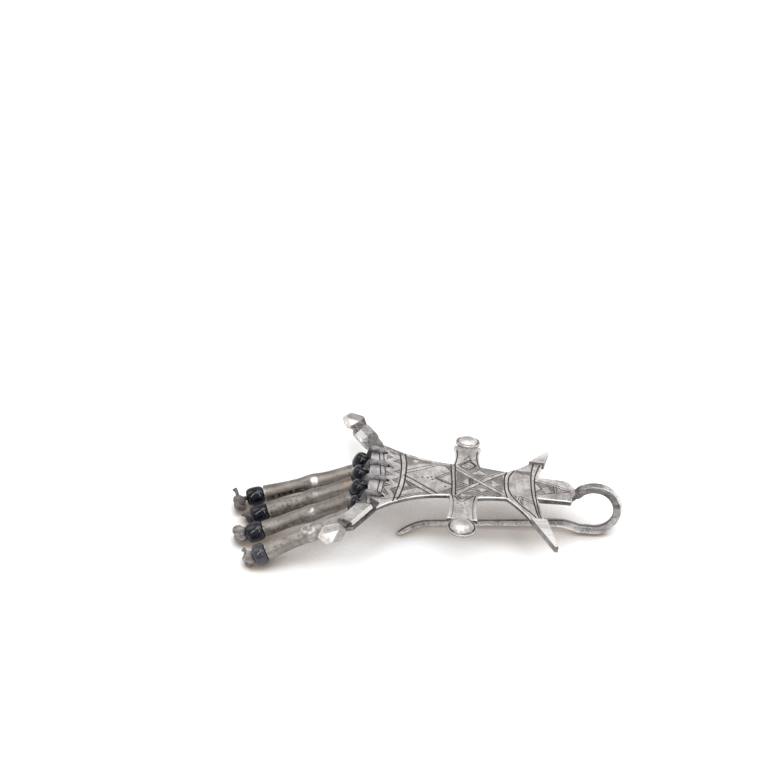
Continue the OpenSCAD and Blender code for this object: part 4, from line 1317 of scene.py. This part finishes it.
# The four strands, from the far side to the near one, in millimetres
strands = [
    # hole across the hand and its extra inset; tip bead's x, y, z from the hand's place, its width, length, dust
    # and painted sheen
    {"hole": (9.4, -0.8), "tip": (-48.2, 5.2, 2.35), "width": 4.3, "long": 4.1, "dust": 0.0},
    {"hole": (3.0, 0.0), "tip": (-47.0, -0.4, 2.37), "width": 4.2, "long": 4.1, "dust": 0.0},
    {"hole": (-3.4, 0.0), "tip": (-47.9, -6.7, 2.68), "width": 4.7, "long": 4.2, "dust": 0.1},
    {"hole": (-9.7, -0.8), "tip": (-46.5, -14.0, 2.88), "width": 5.1, "long": 3.1, "dust": 0.5},
]
strandLook = {
    "palmBeadOut": 2.1, "palmBeadDown": 3.2, "palmBead": 4.2, "palmBeadLong": 3.7, "lift": 1.5, "gap": 3.1,
    "clear": 0.1, "tubeRadius": 1.88, "waistRadius": 1.6, "bore": 1.15, "beadBore": 0.75,
    "thongHalf": 0.5, "holeInset": 3.8,
}
# along the tube, and how far out from its waist's radius (0) to its full one (1)
tubeProfile = [(0, 0.9), (0.015, 1), (0.06, 0.94), (0.16, 0.5), (0.3, 0.1), (0.38, 0.2), (0.43, 0.5),
               (0.48, 1.0), (0.52, 1.22), (0.56, 1.22), (0.60, 0.95), (0.65, 0.55), (0.72, 0.4), (0.84, 0.6),
               (0.94, 0.9), (0.985, 1), (1, 0.9)]
# each tube: how bright its knuckle's painted highlight is, how dark its stain, how much its knuckle is crushed, how
# wide, how rusty
tubeMarks = [
    {"worn": 1.0, "stained": 1.0, "crushed": 0.03, "wide": 1.0, "rusty": 0.0},
    {"worn": 0.22, "stained": 0.4, "crushed": 0.05, "wide": 1.02, "rusty": 1.0},
    {"worn": 0.5, "stained": 0.5, "crushed": 0.06, "wide": 1.0, "rusty": 0.0},
    {"worn": 0.45, "stained": 0.0, "crushed": 0.17, "wide": 1.07, "rusty": 0.0},
]


def strandPlaces(s):
    # where a strand's beads and tube are, in millimetres on the table
    k = strandLook
    hole = s["hole"][0]
    palm = inHand(-plate["palmLength"] - k["palmBeadOut"], hole, sheetHeight(hole) - k["palmBeadDown"]) / mm
    tip = Vector((pose["place"][0] + s["tip"][0], pose["place"][1] + s["tip"][1], s["tip"][2]))
    palmWay = ((palm - tip).normalized() + k["lift"] * turned(0, 0, 1)).normalized()
    end = palm - k["gap"] * palmWay
    way = (end - tip).normalized()
    start = tip + way * (s["long"] / 2 + k["clear"])
    return {"palm": palm, "tip": tip, "palmWay": palmWay, "way": way, "start": start, "end": end}


def alongWay(place, way):
    return moved(*place) @ Vector((0, 0, 1)).rotation_difference(way).to_matrix().to_4x4()


def beadProfile(width, long, squareness):
    # a drilled barrel's closed outline
    n, half, bore = 28, long / 2, strandLook["beadBore"]
    points = []
    for i in range(n + 1):
        t = -math.pi / 2 + math.pi * i / n
        x = math.copysign(abs(math.cos(t)) ** squareness, 1) * (width / 2 - bore) + bore
        points.append((x * mm, half * math.copysign(abs(math.sin(t)) ** 0.85, math.sin(t)) * mm, 0))
    inner = [(bore * 0.92 * mm, (half - 0.12) * mm, 0), (bore * 0.9 * mm, 0, 0),
             (bore * 0.92 * mm, -(half - 0.12) * mm, 0)]
    return points + inner


def beadMesh(name, width, long, place, way, seed, squareness, dust=0.0):
    mesh = turnedMesh(name, beadProfile(width, long, squareness), True, 56, 0.00016, 130.0, seed, blackGlass)
    paintOn(mesh, "dust", [dust] * len(mesh.vertices))
    mesh.transform(alongWay(place, way))
    return mesh


def tubeMesh(name, places, seed):
    k = strandLook
    long = (places["end"] - places["start"]).length
    worn, stained, crushed, wide, rusty = tubeMarks[int(seed / 2) - 1].values()
    waist, swell = k["waistRadius"], k["tubeRadius"] - k["waistRadius"]
    fine = rounded([Vector(p) for p in tubeProfile], 0.012)
    outer = [((waist + swell * p.y) * wide * mm, p.x * long * mm, 0) for p in fine]
    inner = [(k["bore"] * mm, long * mm, 0), (k["bore"] * mm, long * 0.5 * mm, 0), (k["bore"] * mm, 0, 0)]
    mesh = turnedMesh(name, outer + inner, True, 44, 0.00012, 180.0, seed, tubeSilver)
    # dents and folds by hand, then the knuckle's painted highlight with wear at the tube's ends, and the painted
    # shade of the underside
    place = alongWay(places["start"], places["way"])
    turn = place.to_3x3()
    highlightAndWear, shade, rust, blots = [], [], [], []
    rustSpot = Vector((0, 0, long * 0.9 * mm)) + turn.inverted() @ Vector((0, -0.3, 1)) * 1.9 * mm
    normals = [turn @ v.normal for v in mesh.vertices]
    for v, n in zip(mesh.vertices, normals):
        t = v.co.z / (long * mm)
        fold = math.exp(-((t - 0.5) / 0.09) ** 2)
        dent = noise.noise(v.co * 420 + Vector((seed * 3, 0, 0))) * 0.05
        dent += noise.noise(v.co * 900 + Vector((0, seed * 3, 0))) * crushed * fold
        v.co += Vector((v.co.x, v.co.y, 0)).normalized() * dent * mm
        # painted highlight: a ring round the knuckle where it faces up and toward the camera
        facing = max(0.0, n.z * 0.75 - n.y * 0.66 - 0.78) * 5.5
        ring = math.exp(-((t - 0.555) / 0.034) ** 4) * facing
        ends = math.exp(-((t - 0.004) / 0.012) ** 2) + math.exp(-((t - 0.996) / 0.012) ** 2)
        patch = 0.4 + 1.9 * noise.noise(v.co * 1100 + Vector((seed * 5, 0, 0)))
        ridges = 0.08 + max(0.0, dent * 9) * fold if crushed > 0.1 else 0.0
        highlightAndWear.append(unit(worn * ring * (1 if worn > 0.9 else patch) + ridges + ends * 0.25 * patch))
        # painted shade: darker where the tube faces down, and a little where it faces the camera
        under = max(0.0, min(0.7, 0.18 - n.z * 0.9 - n.y * 0.22))
        ragged = unit(0.9 + 2.4 * noise.noise(v.co * 1500 + Vector((0, 0, seed))))
        shade.append(under * (0.6 + 0.4 * ragged))
        band = max(0.0, 1 - abs((t - 0.26) / 0.26) ** 4) * max(0.0, 1 - ((n.z - 0.1) / 0.42) ** 2) * (n.y < 0)
        blots.append(min(1.0, stained * band * ragged * 1.1))
        rust.append(rusty * math.exp(-((v.co - rustSpot).length / (0.55 * mm)) ** 2))
    for label, values in (("highlightAndWear", highlightAndWear), ("shade", shade), ("rust", rust), ("blot", blots)):
        paintOn(mesh, label, values)
    mesh.transform(place)
    return mesh


def sweptMesh(name, points, halfWidths, step, sides, *look):
    settings = {"Step": step, "Sides": sides, **surface(*look, waxedThong)}
    return runTree(name, roundTree, lineMesh(name + "Path", [p * mm for p in points], halfWidths), settings)


def overPalm(s, fromU, run):
    # points of the strand's thong, from (u, w) pairs
    v = s["hole"][0]
    return [inHand(fromU + a, v, sheetHeight(v) + b) / mm for a, b in run]


def thongMeshes(i, s, places):
    # from the knot through tip bead, tube and palm bead, over the palm's edge, through the hole and back under it
    k = strandLook
    half = k["thongHalf"]
    proud = half + 0.06
    holeU = -plate["palmLength"] + k["holeInset"] + s["hole"][1]
    mouth = places["palm"] + places["palmWay"] * 1.9 + turned(0.35, 0, -0.1)
    path = [places["tip"] - places["way"] * (s["long"] / 2 + 0.9), places["tip"],
            places["start"] + places["way"] * 2, places["end"] - places["way"] * 2,
            places["palm"] - places["palmWay"] * 1.8, places["palm"] + places["palmWay"] * 1.2, mouth]
    path += overPalm(s, -plate["palmLength"], [(-half * 0.8, -0.2), (0.1, proud * 0.95), (1.5, proud * 0.75)])
    path += overPalm(s, holeU, [(-1.15, proud * 0.85), (-0.45, 0.25), (-0.3, -0.8), (-0.4, -1.3), (-1.2, -1.75)])
    path += overPalm(s, -plate["palmLength"], [(1.2, -1.8), (-0.1, -1.5)])
    path += [places["palm"] + places["palmWay"] * 1.9 + turned(0.15, 0.25, 0)]
    widths = [half * mm] * len(path)
    for j, wide in ((6, 0.9), (7, 1.2), (8, 1.4), (9, 0.92), (10, 1.35), (11, 1.1)):
        widths[j] = half * wide * mm
    cord = sweptMesh("thong", path, widths, 0.00022, 18, 0.00018, 900.0, 1.0 + i)
    # the part between the bead and the palm's edge is darkened: dirt and painted shade
    toHand = handPlace.inverted()
    out = [-(toHand @ v.co).x / mm - plate["palmLength"] for v in cord.vertices]
    return [frayed(cord, 0.0, [unit((x - 0.15) * 2.2) for x in out])] + knotMeshes(i, s, places)


# each knot: size across, turn about the tube's way, shift on the table, the tail's way and length, how brown
knots = [
    {"size": 1.38, "turn": 20.0, "shift": (-0.3, -1.6, 0.0), "tail": (-0.35, 0.9, 0.7), "long": 2.3, "brown": 1.0},
    {"size": 1.05, "turn": 75.0, "shift": (0.8, 0.1, 0.2), "tail": (-0.9, 0.2, 0.2), "long": 0.4, "brown": 1.0},
    {"size": 1.5, "turn": 140.0, "shift": (-0.25, 0.4, -0.1), "tail": (-1.0, 0.5, 0.3), "long": 0.1, "brown": 0.15},
    {"size": 1.3, "turn": 210.0, "shift": (0.0, 0.0, 0.05), "tail": (-0.55, 0.9, 0.6), "long": 1.3, "brown": 0.0},
]


def knotMeshes(i, s, places):
    # an overhand knot pulled tight, and its cut tail
    n = knots[i]
    middle = places["tip"] - places["way"] * (s["long"] / 2 + 1.3)
    middle.z = max(middle.z, 1.5 * n["size"])
    middle += Vector(n["shift"])
    frameTurn = Vector((0, 0, 1)).rotation_difference(places["way"]).to_matrix()
    spin = Matrix.Rotation(math.radians(n["turn"]), 3, "Z")
    steps = 36
    points = []
    for j in range(steps + 1):
        a = 2 * math.pi * j / steps
        x = (math.sin(a) + 2 * math.sin(2 * a)) * 0.30
        y = (math.cos(a) - 2 * math.cos(2 * a)) * 0.30
        z = -math.sin(3 * a) * 0.42
        points.append(middle + frameTurn @ (spin @ Vector((x, y, z)) * n["size"]))
    loop = sweptMesh("knot", points, [0.0006 * n["size"]] * (steps + 1), 0.0002, 16, 0.0005, 1100.0, 20.0 + i)
    way, inside = Vector(n["tail"]).normalized(), 1.2
    tail = [middle, middle + way * inside, middle + way * (inside + n["long"] * 0.6) + Vector((0, 0, 0.1)),
            middle + way * (inside + n["long"]) + Vector((-0.25, 0, 0.0))]
    for p in tail:
        p.z = max(p.z, 0.62)
    end = sweptMesh("tail", tail, [0.0006, 0.0005, 0.00042, 0.0006], 0.0002, 14, 0.0003, 1300.0, 30.0 + i)
    return [frayed(loop, 1.0, [n["brown"]] * len(loop.vertices)),
            frayed(end, 1.0, [min(1.0, n["brown"] + 0.5)] * len(end.vertices))]


def frayed(mesh, amount, brown):
    # how dusty and rough the thong is there, and how brown each of its points is
    paintOn(mesh, "frayed", [amount] * len(mesh.vertices))
    paintOn(mesh, "brown", brown)
    return mesh


print("building the plate")
plateObj = addPiece("handPlateSkin", engravedPlate(), 38)
thumbs = addPiece("thumbBlocks", joined("thumbBlocks", thumbMeshes("far") + thumbMeshes("near")), 50)
spikes = addPiece("spikePoints", joined("spikePoints", [spikeMesh("far"), spikeMesh("near")]), 50)
bossObj = addPiece("domedBosses", joined("domedBosses", [bossMesh("far"), bossMesh("near")]), 50)
wireObj = addPiece("earWire", joined("earWire", [earWireMesh(), wireNeck()]), 60)
for piece in (plateObj, thumbs, spikes, bossObj, wireObj):
    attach(piece, "root")
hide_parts("hand_plate")

print("building the strands")
for number, strand in enumerate(strands, 1):
    places = strandPlaces(strand)
    tube = addPiece(f"fingerTube{number}", tubeMesh("fingerTube", places, 2.0 * number), 60)
    bead = beadMesh("palmBead", strandLook["palmBead"], strandLook["palmBeadLong"], places["palm"],
                    places["palmWay"], 5.0 * number, 0.62)
    palmBead = addPiece(f"palmBead{number}", bead, 70)
    bead = beadMesh("tipBead", strand["width"], strand["long"], places["tip"], places["way"], 7.0 * number, 0.5,
                    strand["dust"])
    tipBead = addPiece(f"tipBead{number}", bead, 70)
    thong = addPiece(f"thong{number}", joined("thong", thongMeshes(number - 1, strand, places)), 70)
    for piece, node, slot in ((tube, "finger_tube", "tube_silver"), (palmBead, "palm_bead", "black_glass"),
                              (tipBead, "tip_bead", "black_glass"), (thong, "thong", "thong")):
        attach(piece, "root")
        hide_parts(f"{node}_{number}")


stage = {
    "floorSize": 6.0, "white": (1.0, 1.0, 1.0), "pale": ((0.64, 0.635, 0.63), (0.66, 0.655, 0.65)),
    # the painted shadow on the table close under the hand, how far that painted shadow reaches, and how much the
    # table glows, painted light that lifts the shadows elsewhere
    "deep": (0.36, 0.34, 0.325), "paintedWarmShade": (0.80, 0.70, 0.62), "shadeReach": 0.016, "glow": 0.52,
    # the tent's colour at eye level and overhead, and its share in front of the hand
    "tent": ((0.80, 0.79, 0.78, 1), (0.46, 0.46, 0.47, 1)), "tentTop": 0.8, "tentFront": 0.5,
    # each softbox or window: place, width and height in metres, and power in watts
    "lights": {
        "leftBox": ((-0.9, 0.35, 1.1), (0.7, 0.9), 3.6),
        "rightBox": ((0.95, 0.3, 1.0), (0.6, 0.9), 4.0),
        "topBox": ((0.1, -0.05, 1.4), (1.0, 0.8), 8.8),
        "leftWindow": ((-0.35, -0.55, 0.75), (0.07, 0.60), 1.7),
        "rightWindow": ((0.32, -0.60, 0.70), (0.06, 0.55), 1.5),
    },
}


def areaLight(name, place, size, power):
    # a rectangle of light that faces the hand
    data = bpy.data.lights.new(name, "AREA")
    data.shape = "RECTANGLE"
    data.size, data.size_y = size
    data.energy = power
    lamp = bpy.data.objects.new(name, data)
    lamp.location = Vector(place)
    lamp.rotation_euler = (-Vector(place)).to_track_quat("-Z", "Y").to_euler()
    bpy.context.scene.collection.objects.link(lamp)


def makeTable():
    bpy.ops.mesh.primitive_plane_add(size=stage["floorSize"])
    floor = bpy.context.object
    floor.name = "tableTop"
    mat, t, shader = startMaterial("paleTable")
    obj = objectCoords(t)
    # painted shadow: warm and deep close under the hand, as the occlusion test finds it, white further out; the
    # table glows in the same colours
    near = addNode(t, "ShaderNodeAmbientOcclusion", samples=8)
    near.inputs["Distance"].default_value = stage["shadeReach"]
    shade = mixColor(t, rangeOf(t, near.outputs["AO"], 0.36, 0.84), stage["deep"], stage["white"])
    paintedWarmShade = mixColor(t, rangeOf(t, near.outputs["AO"], 0.42, 0.68), stage["paintedWarmShade"], stage["white"])
    shade = mixColor(t, 1.0, shade, paintedWarmShade, "MULTIPLY")
    pale = mixColor(t, noiseOf(t, obj, 3.0), *stage["pale"])
    wire(t, (mixColor(t, 1.0, pale, shade, "MULTIPLY"), shader.inputs["Base Color"]),
         (shade, shader.inputs["Emission Color"]))
    shader.inputs["Roughness"].default_value = 0.9
    shader.inputs["Specular IOR Level"].default_value = 0.1
    shader.inputs["Emission Strength"].default_value = stage["glow"]
    floor.data.materials.append(mat)


def makeTent():
    # soft light from all sides, less from the front and from overhead
    world = bpy.data.worlds.new("softTent")
    bpy.context.scene.world = world
    world.use_nodes = True
    w = world.node_tree
    back = w.nodes["Background"]
    coords = addNode(w, "ShaderNodeTexCoord").outputs["Generated"]
    split = addNode(w, "ShaderNodeSeparateXYZ")
    wire(w, (coords, split.inputs[0]))
    ramp = addNode(w, "ShaderNodeValToRGB")
    for stop, color, height in zip(ramp.color_ramp.elements, stage["tent"], (0.0, stage["tentTop"])):
        stop.position = height
        stop.color = color
    wire(w, (split.outputs[2], ramp.inputs[0]))
    front = addNode(w, "ShaderNodeMix", data_type="RGBA", blend_type="MULTIPLY")
    front.inputs[0].default_value = 1.0
    share = rangeOf(w, split.outputs[1], -0.8, 0.1, stage["tentFront"], 1.0)
    wire(w, (ramp.outputs[0], front.inputs[6]), (share, front.inputs[7]), (front.outputs[2], back.inputs[0]))
    back.inputs[1].default_value = 1.0


makeTable()
makeTent()
for lampName, (place, size, power) in stage["lights"].items():
    areaLight(lampName, place, size, power)
bpy.context.scene.view_settings.view_transform = "Standard"
bpy.context.scene.view_settings.exposure = 0.0
print("stage set")
